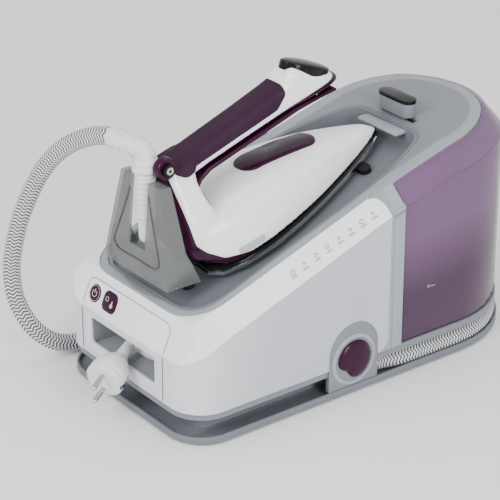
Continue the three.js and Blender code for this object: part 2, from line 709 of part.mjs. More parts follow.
// The lead's way down along the inside of the coil, as it winds towards the floor.
function insideCoil() {
  const points = [];
  const steps = 6;
  for (let i = 0; i <= steps; i += 1) {
    const angle = THREE.MathUtils.degToRad(143 + (150 * i) / steps);
    const radius = i === 0 ? 28 : 25.6;
    points.push([
      COIL.x + radius * Math.cos(angle),
      COIL.y + radius * Math.sin(angle),
      63 - (14 * i) / steps,
    ]);
  }
  return points;
}

add(station, 'mains_lead_inner', tubeAlong([
  [GLAND.x, GLAND.y - 15, GLAND.z],
  [-30, -107, 64.6],
  [-29.6, -116, 63.9],
  ...insideCoil(),
], LEAD_RADIUS, 22), WHITE());

const alongPlug = (t) => PLUG_CENTRE.clone().addScaledVector(PLUG_AXIS, t);
const leadExit = alongPlug(-48.4);
add(station, 'mains_lead_outer', tubeAlong([
  leadExit.toArray(),
  alongPlug(-56).toArray(),
  [-22.5, -180.5, 68],
  [-29.5, -170.5, 65.4],
  [-34.2, -160.5, 63.4],
  [-36.4, -151, 63.2],
], LEAD_RADIUS, 14), WHITE());

const PIN_SIDE = new THREE.Vector3(0.31, -0.235, 0.94).projectOnPlane(PLUG_AXIS).normalize();

// The bar that holds both pins, let into the plug's face.
function pinBridge(grow) {
  const frame = new THREE.Matrix4().makeBasis(PIN_SIDE, PLUG_AXIS.clone().cross(PIN_SIDE), PLUG_AXIS);
  frame.setPosition(PLUG_CENTRE);
  const top = grow > 0 ? 20 : 13.8;
  return box(-12 - grow, 12 + grow, -2.8 - grow, 2.8 + grow, 10 - grow, top).applyMatrix4(frame);
}

function mainsPlug() {
  const profile = [
    [0, -48], [4.4, -48], [5.2, -32], [6, -20], [9, -15], [15.5, -6], [19, 2], [19, 13], [18, 14], [0,
      14],
  ];
  return cut(aim(turned(profile, 24), PLUG_AXIS, PLUG_CENTRE), pinBridge(GAP));
}
add(station, 'mains_plug', mainsPlug(), WHITE());

function plugPins() {
  const pin = (offset) => aim(
    turned([[0, 12], [2.4, 12], [2.4, 31.5], [1.2, 33.3], [0, 33.3]], 12),
    PLUG_AXIS, PLUG_CENTRE.clone().addScaledVector(PIN_SIDE, offset));
  return join(pinBridge(0), pin(9.5), pin(-9.5));
}
add(station, 'plug_pins', plugPins(), STEEL());

// ---------------------------------------------------------------- steam hose

const HOSE_LINE = HALF_WIDTH - 11.5;
const CHANNEL_Z = FLOOR_TOP + HOSE_RADIUS + 0.2;

function rearBend() {
  const points = [];
  const steps = 12;
  for (let i = 0; i <= steps; i += 1) {
    const angle = (Math.PI * i) / steps;
    points.push([HOSE_LINE * Math.cos(angle), REAR_CENTRE + HOSE_LINE * Math.sin(angle), CHANNEL_Z]);
  }
  return points;
}

const GLAND_X = 93.6;
add(station, 'hose_gland', aim(
  turned([[0, 0], [9.7, 0], [9.7, 12], [9.2, 14], [9, 30], [0, 30]], 16),
  new THREE.Vector3(0, 1, 0), new THREE.Vector3(GLAND_X, -29, 15.6),
), GREY());

const HOSE_SPLIT = [-98.5, 0, CHANNEL_Z];
add(station, 'steam_hose_stored', tubeAlong([
  [GLAND_X, 1.9, 15.6],
  [GLAND_X + 0.6, 14, 15.2],
  [HOSE_LINE - 0.6, 36, 13.8],
  [HOSE_LINE, 60, CHANNEL_Z],
  [HOSE_LINE, 86, CHANNEL_Z],
  ...rearBend(),
  [-HOSE_LINE, 84, CHANNEL_Z],
  [-HOSE_LINE, 56, CHANNEL_Z],
  [-HOSE_LINE, 28, CHANNEL_Z],
  HOSE_SPLIT,
], HOSE_RADIUS, 32, 10), paint(0xd9dbde, 0.8));

add(station, 'steam_hose_loop', tubeAlong([
  [-98.5, -0.8, CHANNEL_Z],
  [-100, -30, CHANNEL_Z],
  [-104.5, -58, 13.6],
  [-111, -84, 13.6],
  [-117, -108, 11.6],
  [-121, -134, 9.7],
  [-122, -162, 9.6],
  [-123, -190, 9.8],
  [-126, -218, 17.5],
  [-133, -239, 38],
  [-144, -249, 68],
  [-149, -249, 97],
  [-146, -246, 126],
  [-140, -241, 154],
  [-130, -234, 183],
  [-117, -227, 209],
  [-99, -220, 231],
  [-78, -213, 247],
  [-55, -207, 258],
  [-34, -203.5, 263],
  [-18.2, -199, 261.1],
], HOSE_RADIUS, 54, 10), paint(0xd9dbde, 0.8));

// ---------------------------------------------------------------- iron
// The iron's own frame: x across, y forward along the sole from its tip, z up from the sole.

// [distance back from the tip, half width] of the soleplate.
const SOLE = [[0, 0], [8, 7], [20, 13.5], [37, 21], [72, 34], [110, 45], [146, 53], [180, 58], [215,
  57], [238, 50], [248, 38]];

function soleShape(inset, from = 0) {
  const side = SOLE.filter(([back]) => back >= from).map(([back, half]) =>
    new THREE.Vector2(Math.max(half - inset, 0.2),
      -back - inset * (back < 60 ? 1 : 0) + inset * (back > 230 ? 1 : 0)));
  const mirrored = side.slice().reverse().map((p) => new THREE.Vector2(-p.x, p.y));
  return new THREE.Shape([...side, ...mirrored].reverse());
}

add(iron, 'soleplate', planSolid(soleShape(0), GAP, 4.2), STEEL());
add(iron, 'steam_chamber', cut(
  planSolid(soleShape(11, 37), 4.5, 16),
  planSolid(soleShape(20, 60), 9, 30),
), paint(0x8d9094, 0.5, 0.8));
add(iron, 'heat_shield', cut(planSolid(soleShape(2), 4.5, 10), planSolid(soleShape(5), 0, 30)), BLACK());

// [distance back, half width, height at the middle] of the white body.
const BODY = [
  [6, 4, 11.5], [16, 11, 21], [37, 20, 30], [72, 33, 43], [110, 44, 52], [146, 51.5, 58], [185, 56.5, 60],
  [215, 55.5, 60], [236, 50, 60], [250, 47, 60],
];
const BODY_BASE = 10.3;

function bodySections(inset) {
  const last = BODY.length - 1;
  return BODY.map(([back, half, height], i) => {
    const a = Math.max(half - inset, 1);
    const top = Math.max(height - inset, BODY_BASE + 0.6);
    const base = inset > 0 ? BODY_BASE - 5 : BODY_BASE;
    const rise = top - BODY_BASE;
    const y = -back - (i === 0 ? inset : 0) + (i === last ? inset : 0);
    const half_ring = [[a, base], [a * 0.97, BODY_BASE + rise * 0.35], [a * 0.72,
      BODY_BASE + rise * 0.74], [a * 0.32, top]];
    const right = half_ring.map(([x, z]) => new THREE.Vector3(x, y, z));
    const left = half_ring.slice().reverse().map(([x, z]) => new THREE.Vector3(-x, y, z));
    return [...right, ...left];
  });
}

const pillShape = (half, y0, y1, r) => roundedRect(-half, half, y0, y1, r);

add(iron, 'iron_body', cut(
  loft(bodySections(0)),
  loft(bodySections(2.5)),
  planSolid(pillShape(15.3, -166.3, -75.7, 15.2), 35, 100),
  box(-14, 14, -240, -226, 40, 100),
), WHITE());

// Purple inset pad on the top of the body; its top follows the body's rise.
add(iron, 'body_pad', common(
  planSolid(pillShape(15, -166, -76, 14.9), 30, 100),
  cut(loft(bodySections(-0.6)), loft(bodySections(2.2))),
), PURPLE());

add(iron, 'light_window', join(
  box(57.2, 58.4, -216, -190, 13, 19),
), CLEAR_SMOKE());

// Handle outline, seen from the side as (forward, up).
const GRIP_TOP = [[-244, 106], [-226, 111], [-170, 116], [-104, 121.5], [-91, 135]];
const GRIP_UNDER = [[-92, 91.3], [-202, 87.3], [-216, 81], [-222, 73], [-223, 60.4]];

// Bosses at the top of the heel that carry the boot's pivot.
const pivotBosses = (grow) => join(...[-17, 17].map((x) => rod('x', 11 + grow, 8 + 2 * grow, x, -247.5,
  115, 20)));

// What the soft grip is moulded round.
function gripCore(grow) {
  const line = [[-300, 100 + grow], [-226, 109 + grow], [-170, 113.6 + grow], [-90, 119.5 + grow]];
  return common(
    sideSolid(outline([[-300, 0], [0, 0], [0, 119.5 + grow], ...line.reverse()]), -50, 50),
    box(-12.6 - grow, 12.6 + grow, -300, 0, 0, 140),
  );
}

function handleShell() {
  const side = outline([[-250, 60.4], [-250, 100], ...GRIP_TOP, [-40, 98], [-37, 90], [-46, 86.3],
    ...GRIP_UNDER].reverse());
  const section = outline([
    [-46, 60], [46, 60], [30, 84], [16.5, 92], [16.5, 140], [-16.5, 140], [-16.5, 92], [-30, 84],
  ]);
  const column = frontSolid(section, -260, -195);
  const grip = planSolid(roundedRect(-16.5, 16.5, -222, -34, 16.2), 55, 140, 6);
  const outer = common(sideSolid(side, -50, 50), join(column, grip));
  const cable = box(-9, 9, -235, -60, 50, 99);
  const gripRoom = cut(
    sideSolid(outline([[-228.3, 96.5], [-99, 99.7], [-93, 106], [-93, 140], [-228.3, 140]]), -50, 50),
    gripCore(0),
  );
  return cut(outer, cable, gripRoom, pivotBosses(GAP));
}
add(iron, 'handle_shell', handleShell(), WHITE());

function handleGrip() {
  const side = outline([
    [-228, 97], [-99.4, 100.2], [-93.4, 106.4], [-93.4, 123.6], [-104, 124], [-170, 118.6], [-226,
      113.5], [-228, 112],
  ]);
  const outer = common(sideSolid(side, -17.5, 17.5), frontSolid(roundedRect(-17.5, 17.5, 80, 124, 10),
    -240, -80, 4));
  return cut(outer, gripCore(GAP));
}
add(iron, 'handle_grip', handleGrip(), SOFT_PURPLE());

function handleUnderside() {
  const lower = GRIP_UNDER.map(([y, z]) => [y, z - 0.3]);
  const side = outline([
    ...lower, [-218.4, 60.4], [-217.6, 71.5], [-212.5, 77.5], [-200, 82], [-92, 86], [-66, 84.5], [-44,
      82.4], [-44, 86],
  ]);
  return cut(sideSolid(side, -14, 14), box(-8.6, 8.6, -87.4, -62, 70, 100));
}
add(iron, 'handle_underside', handleUnderside(), PURPLE());

function steamTrigger() {
  const side = outline([[-85, 84.6], [-78, 81.6], [-68, 82.6], [-64, 86], [-64, 91], [-72, 92], [-85,
    88.5]]);
  return sideSolid(side, -8, 8);
}
add(iron, 'steam_trigger', steamTrigger(), PURPLE());

// Head cap: an oval plate that slopes down to the front, in two pieces.
const CAP_TILT = Math.atan2(131 - 94, 90 - 39);

function capPlate(y0, y1, z0, z1) {
  const oval = new THREE.Shape();
  oval.absellipse(0, 0, 16.5, 32, 0, 2 * Math.PI);
  const plate = common(planSolid(oval, z0, z1, 24), box(-20, 20, y0, y1, -10, 20));
  return plate.rotateX(-CAP_TILT).translate(0, -65.5, 118.3);
}

add(iron, 'head_display', capPlate(-40, -4.2, -1, 3.2), BLACK());
add(iron, 'head_button', capPlate(-3.8, 40, 0, 3.2), BLACK());

function heelFrame() {
  const side = outline([[-250.3, 1.5], [-250.3, 104], [-254.5, 104], [-267, 42], [-262, 8], [-258, 1.5]]);
  const section = outline([[-42, 1], [42, 1], [45, 30], [24, 112], [-24, 112], [-45, 30]]);
  const plate = common(sideSolid(side, -60, 60), frontSolid(section, -300, -200));
  return join(plate, pivotBosses(0), box(13, 21, -254.5, -250.3, 95, 110), box(-21, -13, -254.5,
    -250.3, 95, 110));
}

// The boot hangs straight down behind the heel, so its groove is upright in the station's frame.
const BOOT = { y: -191, low: 167, collar: 237.5, top: 251 };

// Moves a piece from the station's frame into the iron's frame.
const intoIron = (geometry) => geometry.translate(-IRON_TIP.x, -IRON_TIP.y,
  -IRON_TIP.z).rotateX(-IRON_TILT);
const bootRoom = (radius) => intoIron(join(
  rod('z', radius, 120, 0, BOOT.y, 224, 20),
  box(-radius, radius, BOOT.y - 60, BOOT.y, 164, 284),
));

add(iron, 'heel_frame', cut(heelFrame(), bootRoom(12.6)), PURPLE());

function heelCover() {
  const side = outline([[-262.8, 9], [-300, 20], [-266, 108], [-255, 104], [-267.6, 42]]);
  const inner = outline([[-250, 12], [-297, 22.5], [-264.5, 104.5], [-250, 104], [-262, 42]]);
  const section = outline([[-50, 0], [50, 0], [50, 30], [28, 120], [-28, 120], [-50, 30]]);
  const hollow = outline([[-47.5, 0], [47.5, 0], [47.5, 30], [25.5, 120], [-25.5, 120], [-47.5, 30]]);
  const outer = common(sideSolid(side, -60, 60), frontSolid(section, -320, -200));
  const room = common(sideSolid(inner, -60, 60), frontSolid(hollow, -320, -200));
  return cut(outer, room, bootRoom(12.6), pivotBosses(2 * GAP));
}
add(iron, 'heel_cover', heelCover(), CLEAR_SMOKE());

function hoseBoot() {
  const ribs = [];
  for (let z = 192; z < 234; z += 5) {
    ribs.push([8.4, z], [9.6, z + 1], [9.6, z + 3.4], [8.4, z + 4.4]);
  }
  const profile = [[0, BOOT.low], [5, BOOT.low], [7, BOOT.low + 3], [7.4, 190], ...ribs, [8.4,
    BOOT.collar - GAP], [0, BOOT.collar - GAP]];
  return intoIron(turned(profile, 16).translate(0, BOOT.y, 0));
}
add(iron, 'hose_boot', hoseBoot(), WHITE());
add(iron, 'boot_collar', intoIron(turned([
  [0, BOOT.collar], [12, BOOT.collar], [12.2, BOOT.collar + 2], [12.2, BOOT.top - 2], [11, BOOT.top],
    [0, BOOT.top],
], 20).translate(0, BOOT.y, 0)), WHITE());

// An elbow that leads the hose out of the boot.
function hoseSleeve() {
  const corner = new THREE.Vector3(0, BOOT.y, BOOT.top + 9);
  const out = new THREE.Vector3(-0.905, -0.399, 0.146).normalize();
  const ball = new THREE.SphereGeometry(9, 14, 10).translate(corner.x, corner.y, corner.z);
  const stub = rod('z', 9, 9 - GAP, 0, BOOT.y, BOOT.top + (9 + GAP) / 2, 14);
  const arm = aim(turned([[0, 0], [9, 0], [9, 17], [0, 17]], 14), out, corner);
  return intoIron(join(stub, ball, arm));
}
add(iron, 'hose_sleeve', hoseSleeve(), WHITE());

add(iron, 'boot_pivot', rod('x', 6.4, 4, 23.4, -247.5, 115, 16), BLACK());

export default model;
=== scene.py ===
import json
import math
import bmesh
import bpy
from mathutils import Matrix, Vector


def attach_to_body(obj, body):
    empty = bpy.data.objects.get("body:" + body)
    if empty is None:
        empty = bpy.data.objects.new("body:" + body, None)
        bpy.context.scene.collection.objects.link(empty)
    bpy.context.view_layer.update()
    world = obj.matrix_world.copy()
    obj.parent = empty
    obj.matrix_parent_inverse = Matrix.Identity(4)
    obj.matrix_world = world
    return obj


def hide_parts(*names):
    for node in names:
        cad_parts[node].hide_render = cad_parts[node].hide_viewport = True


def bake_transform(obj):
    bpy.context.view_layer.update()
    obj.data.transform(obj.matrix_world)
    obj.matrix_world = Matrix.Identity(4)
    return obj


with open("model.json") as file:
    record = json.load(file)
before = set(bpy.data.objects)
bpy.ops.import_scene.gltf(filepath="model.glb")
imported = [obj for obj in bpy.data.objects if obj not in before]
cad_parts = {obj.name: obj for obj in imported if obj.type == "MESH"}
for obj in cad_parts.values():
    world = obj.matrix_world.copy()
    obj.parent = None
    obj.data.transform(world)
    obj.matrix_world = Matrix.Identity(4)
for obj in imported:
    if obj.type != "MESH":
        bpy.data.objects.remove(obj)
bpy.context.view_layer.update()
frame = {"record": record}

MM = 0.001
D = bpy.data
collection = bpy.context.scene.collection


# ---------------------------------------------------------------- camera

AZIMUTH = math.radians(52.71)
ELEVATION = math.radians(25.59)
DISTANCE = 2.0697
AIM = Vector((-0.00461, -0.06749, 0.120))

back = Vector((
    math.sin(AZIMUTH) * math.cos(ELEVATION),
    -math.cos(AZIMUTH) * math.cos(ELEVATION),
    math.sin(ELEVATION),
))
camera_data = D.cameras.new("camera")
camera_data.sensor_width = 36
camera_data.lens = 154.2
camera = D.objects.new("camera", camera_data)
camera.location = AIM + back * DISTANCE
camera.rotation_mode = "QUATERNION"
camera.rotation_quaternion = back.to_track_quat("Z", "Y")
collection.objects.link(camera)
bpy.context.scene.camera = camera


# ---------------------------------------------------------------- materials

def new_material(name):
    material = D.materials.new(name)
    material.use_nodes = True
    tree = material.node_tree
    shader = tree.nodes["Principled BSDF"]
    return material, tree, shader


def node(tree, kind, **values):
    made = tree.nodes.new(kind)
    for key, value in values.items():
        setattr(made, key, value)
    return made


def link(tree, a, b):
    tree.links.new(a, b)


def noise(tree, scale, detail=3.0, stretch=(1, 1, 1)):
    place = node(tree, "ShaderNodeTexCoord")
    mapping = node(tree, "ShaderNodeMapping")
    mapping.inputs["Scale"].default_value = stretch
    texture = node(tree, "ShaderNodeTexNoise")
    texture.inputs["Scale"].default_value = scale
    texture.inputs["Detail"].default_value = detail
    link(tree, place.outputs["Object"], mapping.inputs["Vector"])
    link(tree, mapping.outputs["Vector"], texture.inputs["Vector"])
    return texture.outputs["Fac"]


def ramp(tree, value, low, high, start=0.35, end=0.65):
    made = node(tree, "ShaderNodeMapRange")
    made.inputs["From Min"].default_value = start
    made.inputs["From Max"].default_value = end
    made.inputs["To Min"].default_value = low
    made.inputs["To Max"].default_value = high
    link(tree, value, made.inputs["Value"])
    return made.outputs["Result"]


def mix(tree, fac, a, b):
    made = node(tree, "ShaderNodeMix", data_type="RGBA")
    made.inputs["A"].default_value = (*a, 1)
    made.inputs["B"].default_value = (*b, 1)
    link(tree, fac, made.inputs["Factor"])
    return made.outputs["Result"]


def bump(tree, shader, height, strength, distance):
    made = node(tree, "ShaderNodeBump")
    made.inputs["Strength"].default_value = strength
    made.inputs["Distance"].default_value = distance
    link(tree, height, made.inputs["Height"])
    link(tree, made.outputs["Normal"], shader.inputs["Normal"])


def plastic(name, color, rough, grain=700, grain_depth=0.00004, coat=0.0, metal=0.0,
            alpha=1.0, spread=0.04, stretch=(1, 1, 1), coat_rough=0.05, rough_spread=0.06, specular=0.5):
    """Moulded material: slight colour drift, uneven gloss and a fine moulded grain."""
    material, tree, shader = new_material(name)
    darker = tuple(c * (1 - spread) for c in color)
    lighter = tuple(min(1.0, c * (1 + spread)) for c in color)
    broad = noise(tree, 14, 3)
    link(tree, mix(tree, ramp(tree, broad, 0, 1), darker, lighter), shader.inputs["Base Color"])
    link(tree, ramp(tree, noise(tree, 60, 4), rough - rough_spread / 2, rough + rough_spread / 2),
         shader.inputs["Roughness"])
    shader.inputs["Metallic"].default_value = metal
    shader.inputs["Coat Weight"].default_value = coat
    shader.inputs["Coat Roughness"].default_value = coat_rough
    shader.inputs["Alpha"].default_value = alpha
    shader.inputs["Specular IOR Level"].default_value = specular
    if grain_depth:
        bump(tree, shader, noise(tree, grain, 2, stretch), 0.5, grain_depth)
    return material


def position(tree):
    place = node(tree, "ShaderNodeTexCoord")
    axes = node(tree, "ShaderNodeSeparateXYZ")
    link(tree, place.outputs["Object"], axes.inputs["Vector"])
    return axes.outputs["X"], axes.outputs["Y"], axes.outputs["Z"]


def calculate(tree, kind, a, b=None):
    made = node(tree, "ShaderNodeMath", operation=kind)
    for socket, value in zip(made.inputs, (a, b)):
        if isinstance(value, (int, float)):
            socket.default_value = value
        elif value is not None:
            link(tree, value, socket)
    return made.outputs["Value"]


def past(tree, a, b):
    """How far a is past b, and zero before it."""
    return calculate(tree, "MAXIMUM", calculate(tree, "SUBTRACT", a, b), 0.0)


def distance(tree, a, b):
    return calculate(tree, "SQRT", calculate(tree, "ADD", calculate(tree, "MULTIPLY", a, a),
                                             calculate(tree, "MULTIPLY", b, b)))


def sloping_line(tree, y, slope, height):
    """Height of a straight line that passes the origin at height."""
    return calculate(tree, "ADD", calculate(tree, "MULTIPLY", y, slope), height)


def blend_color(tree, shader, factor, color):
    """Lays a second colour over the shader's present base colour, where factor is one."""
    old = shader.inputs["Base Color"].links[0].from_socket
    made = node(tree, "ShaderNodeMix", data_type="RGBA")
    link(tree, factor, made.inputs["Factor"])
    link(tree, old, made.inputs["A"])
    made.inputs["B"].default_value = (*color, 1)
    link(tree, made.outputs["Result"], shader.inputs["Base Color"])


def tank_material():
    """Clear purple, painted paler in its upper half: painted light for the brighter view through the tank
    where less is behind it.
    """
    material = plastic("clear_purple", (0.062, 0.025, 0.062), 0.12, 300, 0.0,
                       alpha=0.84, spread=0.05, specular=0.4)
    tree = material.node_tree
    shader = tree.nodes["Principled BSDF"]
    _, y, z = position(tree)
    # Painted light: mask for the paler upper half, where more light shows through the clear tank.
    height = calculate(tree, "SUBTRACT", z, calculate(tree, "MULTIPLY", y, 0.12))
    high = ramp(tree, height, 0, 1, 0.075, 0.135)
    blend_color(tree, shader, high, (0.15, 0.085, 0.16))
    return material


PALE_MARGIN = (0.27, 0.295, 0.32)

# The crease on the housing: slope along y, and height in metres where y is zero.
CREASE_ALONG_SIDE = (0.355, 0.1695)
CREASE_AT_CORNER = (0.656, 0.22516)

# The grey field behind the side panel, in metres: where it starts, and its rounded corners.
PANEL_REAR = 0.001
PANEL_TOP = 0.1745
PANEL_TOP_SLOPE = 0.34
PANEL_BOTTOM = 0.047
PANEL_CORNER = (0.0125, 0.0128)


def pearl_and_painted_highlight_material():
    """Pearl housing: silver up to the crease, and white above it, where the side leans back; the white is
    mostly a painted highlight for the light the leaning band catches, and partly a small real colour change.

    Beyond the panel's rear corners it is grey.
    """
    material = plastic("pearl_housing_painted_highlight", (0.47, 0.485, 0.53), 0.32, 900, 0.00002, coat=0.2, spread=0.015)
    tree = material.node_tree
    shader = tree.nodes["Principled BSDF"]
    _, y, z = position(tree)
    crease = calculate(tree, "MINIMUM", sloping_line(tree, y, *CREASE_ALONG_SIDE),
                       sloping_line(tree, y, *CREASE_AT_CORNER))
    # Painted highlight: the band above the crease is lightened for the light it catches as it leans back; a
    # small part of it is a real colour change.
    lean = ramp(tree, calculate(tree, "SUBTRACT", z, crease), 0, 1, -0.0008, 0.0008)
    blend_color(tree, shader, lean, (0.90, 0.905, 0.92))
    # Painted highlight: the housing is lightened towards its front face for the light falling on it.
    front = ramp(tree, y, 0.55, 0.0, -0.22, -0.13)
    blend_color(tree, shader, front, (0.80, 0.805, 0.83))
    rise = calculate(tree, "SUBTRACT", z, calculate(tree, "MULTIPLY", y, PANEL_TOP_SLOPE))
    above = calculate(tree, "MULTIPLY", past(tree, rise, PANEL_TOP), 0.95)
    up_down = calculate(tree, "MAXIMUM", above, past(tree, PANEL_BOTTOM, z))
    from_corner = distance(tree, past(tree, y, PANEL_REAR), up_down)
    outside = calculate(tree, "MULTIPLY", ramp(tree, from_corner, 0, 1, *PANEL_CORNER),
                        calculate(tree, "GREATER_THAN", y, PANEL_REAR))
    blend_color(tree, shader, outside, PALE_MARGIN)
    return material


WHITE = plastic("white_gloss", (0.90, 0.905, 0.92), 0.25, 300, 0.00001, coat=0.3, spread=0.01)
GREY = plastic("blue_grey", (0.185, 0.20, 0.222), 0.45, 1100, 0.00005, spread=0.03, specular=0.3)
PALE_GREY = plastic("pale_grey", (0.30, 0.325, 0.355), 0.4, 1100, 0.00003, spread=0.02, specular=0.3)
PAN = plastic("pan_grey", (0.15, 0.165, 0.185), 0.45, 1100, 0.00005, spread=0.03, specular=0.3)
DARK_GREY = plastic("dark_grey", (0.15, 0.165, 0.185), 0.48, 1000, 0.00006, specular=0.3)
DEEP_PURPLE = plastic("deep_purple", (0.026, 0.0012, 0.018), 0.22, 400, 0.00001, spread=0.1, specular=0.2)
SOFT_PURPLE = plastic("soft_purple", (0.024, 0.005, 0.021), 0.6, 1600, 0.0001, spread=0.08, specular=0.2)
BLACK = plastic("black_gloss", (0.004, 0.004, 0.005), 0.14, 300, 0.00001, specular=0.2)
RUBBER = plastic("black_rubber", (0.010, 0.010, 0.012), 0.6, 1500, 0.00012, spread=0.15, specular=0.2)
WHITE_FLEX = plastic("white_flex", (0.70, 0.70, 0.71), 0.42, 900, 0.00005, spread=0.02)
CHROME = plastic("bright_steel", (0.50, 0.50, 0.52), 0.18, 200, 0.0, metal=1.0, spread=0.02)
STEEL = plastic("plain_steel", (0.45, 0.45, 0.47), 0.32, 900, 0.00002, metal=1.0, stretch=(1, 1, 30))
CAST = plastic("cast_alloy", (0.30, 0.30, 0.32), 0.5, 700, 0.0002, metal=1.0)
BRASS = plastic("brass_parts", (0.55, 0.36, 0.12), 0.3, 600, 0.00003, metal=1.0)
INNER = plastic("dark_inner", (0.03, 0.035, 0.04), 0.5, 700, 0.0001)
ICON = plastic("icon_pale", (0.75, 0.75, 0.80), 0.4, 700, 0.0)
ICON_GREY = plastic("icon_grey", (0.015, 0.016, 0.02), 0.4, 700, 0.0)
TANK = tank_material()
TANK_TOP = plastic("clear_purple_top", (0.20, 0.115, 0.22), 0.14, 300, 0.00001, alpha=0.62, specular=0.4)
SMOKE = plastic("clear_smoke", (0.17, 0.178, 0.178), 0.1, 300, 0.00001, alpha=0.56, spread=0.03, specular=0.5)
SMOKE_EDGE = plastic("clear_smoke_edge", (0.055, 0.058, 0.058), 0.12, 300, 0.00001, alpha=0.6, specular=0.5)
SEAM = plastic("seam_shadow", (0.05, 0.055, 0.065), 0.6, 700, 0.0, specular=0.1)
LINER = plastic("compartment_liner", (0.30, 0.31, 0.335), 0.45, 900, 0.00003, specular=0.3)
WINDOW = plastic("light_window", (0.50, 0.51, 0.53), 0.15, 300, 0.00001)


LINES_PER_METRE = 270.0
POINTS_AROUND = 7.0


def braid_material():
    """White sleeve with grey zigzag lines round it; it follows the hose's own map."""
    material, tree, shader = new_material("braid")
    uv = node(tree, "ShaderNodeUVMap", uv_map="along")
    split = node(tree, "ShaderNodeSeparateXYZ")
    link(tree, uv.outputs["UV"], split.inputs["Vector"])

    def from_middle(value):
        return calculate(tree, "ABSOLUTE", calculate(tree, "SUBTRACT", value, 0.5))

    along, around = split.outputs["X"], split.outputs["Y"]
    turn_share = calculate(tree, "FRACT", calculate(tree, "MULTIPLY", around, POINTS_AROUND))
    zigzag = calculate(tree, "MULTIPLY", from_middle(turn_share), 1.3)
    lines = calculate(tree, "MULTIPLY", along, LINES_PER_METRE)
    lane = calculate(tree, "FRACT", calculate(tree, "ADD", lines, zigzag))
    over = calculate(tree, "SINE", calculate(tree, "MULTIPLY", lane, math.pi))
    grey = ramp(tree, from_middle(lane), 0, 1, 0.17, 0.23)
    link(tree, mix(tree, grey, (0.78, 0.785, 0.79), (0.085, 0.09, 0.10)), shader.inputs["Base Color"])
    shader.inputs["Roughness"].default_value = 0.8
    shader.inputs["Sheen Weight"].default_value = 0.2
    bump(tree, shader, over, 0.8, 0.0006)
    return material


BRAID = braid_material()
PEARL_WITH_PAINTED_HIGHLIGHT = pearl_and_painted_highlight_material()


# ---------------------------------------------------------------- mesh helpers

def mm(points):
    return [Vector(p) * MM for p in points]


def mesh_object(name, vertices, faces, material, smooth=True, angle=35):
    mesh = D.meshes.new(name)
    mesh.from_pydata([tuple(v) for v in vertices], [], faces)
    bm = bmesh.new()
    bm.from_mesh(mesh)
    bmesh.ops.remove_doubles(bm, verts=bm.verts, dist=1e-6)
    bmesh.ops.recalc_face_normals(bm, faces=bm.faces)
    bm.to_mesh(mesh)
    bm.free()
    obj = D.objects.new(name, mesh)
    collection.objects.link(obj)
    mesh.materials.append(material)
    if smooth:
        smooth_by_angle(obj, angle)
    return obj


def smooth_by_angle(obj, angle=35):
    """Smooth shading, with the edges sharper than angle kept crisp."""
    mesh = obj.data
    mesh.polygons.foreach_set("use_smooth", [True] * len(mesh.polygons))
    bm = bmesh.new()
    bm.from_mesh(mesh)
    limit = math.radians(angle)
    for edge in bm.edges:
        edge.smooth = not (len(edge.link_faces) == 2 and edge.calc_face_angle(0) > limit)
    bm.to_mesh(mesh)
    bm.free()


def bake(obj):
    """Applies the object's modifiers to its mesh."""
    graph = bpy.context.evaluated_depsgraph_get()
    done = D.meshes.new_from_object(obj.evaluated_get(graph))
    obj.modifiers.clear()
    obj.data = done
    return obj


def round_edges(obj, width, segments=3, angle=32):
    bevel = obj.modifiers.new("bevel", "BEVEL")
    bevel.width = width * MM
    bevel.segments = segments
    bevel.limit_method = "ANGLE"
    bevel.angle_limit = math.radians(angle)
    bevel.use_clamp_overlap = True
    bake(obj)
    smooth_by_angle(obj, 40)
    return obj


def soften(name, material, width=0.8, segments=2, angle=32):
    """Stands for a CAD node: its copy, with the flat faces merged and the edges rounded."""
    source = D.objects[name]
    mesh = source.data.copy()
    obj = D.objects.new(name + "_skin", mesh)
    collection.objects.link(obj)
    mesh.transform(source.matrix_world)
    bm = bmesh.new()
    bm.from_mesh(mesh)
    bmesh.ops.remove_doubles(bm, verts=bm.verts, dist=2e-5)
    bmesh.ops.dissolve_limit(bm, angle_limit=math.radians(1.2), verts=bm.verts, edges=bm.edges)
    bm.to_mesh(mesh)
    bm.free()
    mesh.materials.clear()
    mesh.materials.append(material)
    if width:
        round_edges(obj, width, segments, angle)
    else:
        smooth_by_angle(obj, 35)
    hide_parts(name)
    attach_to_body(obj, BODY_OF[name])
    return obj


def dress(name, material):
    """Gives a CAD node its material."""
    obj = D.objects[name]
    obj.data.materials.clear()
    obj.data.materials.append(material)


record = frame["record"]
BODY_OF = {n: body for body, names in record["behaviour"]["bodies"].items() for n in names}


def attach(obj, body, slot, *replaced):
    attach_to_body(obj, body)
    if replaced:
        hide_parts(*replaced)
    return obj


def spline(points, per_span=12):
    """Catmull-Rom points through given points, at an even pace in each span."""
    pts = [Vector(p) for p in points]
    pts = [2 * pts[0] - pts[1], *pts, 2 * pts[-1] - pts[-2]]
    out = []
    for p0, p1, p2, p3 in zip(pts, pts[1:], pts[2:], pts[3:]):
        t = [0.0]
        for a, b in ((p0, p1), (p1, p2), (p2, p3)):
            t.append(t[-1] + max((b - a).length, 1e-9) ** 0.5)
        for i in range(per_span):
            u = t[1] + (t[2] - t[1]) * i / per_span
            a1 = p0.lerp(p1, (u - t[0]) / (t[1] - t[0]))
            a2 = p1.lerp(p2, (u - t[1]) / (t[2] - t[1]))
            a3 = p2.lerp(p3, (u - t[2]) / (t[3] - t[2]))
            b1 = a1.lerp(a2, (u - t[0]) / (t[2] - t[0]))
            b2 = a2.lerp(a3, (u - t[1]) / (t[3] - t[1]))
            out.append(b1.lerp(b2, (u - t[1]) / (t[2] - t[1])))
    out.append(pts[-2].copy())
    return out


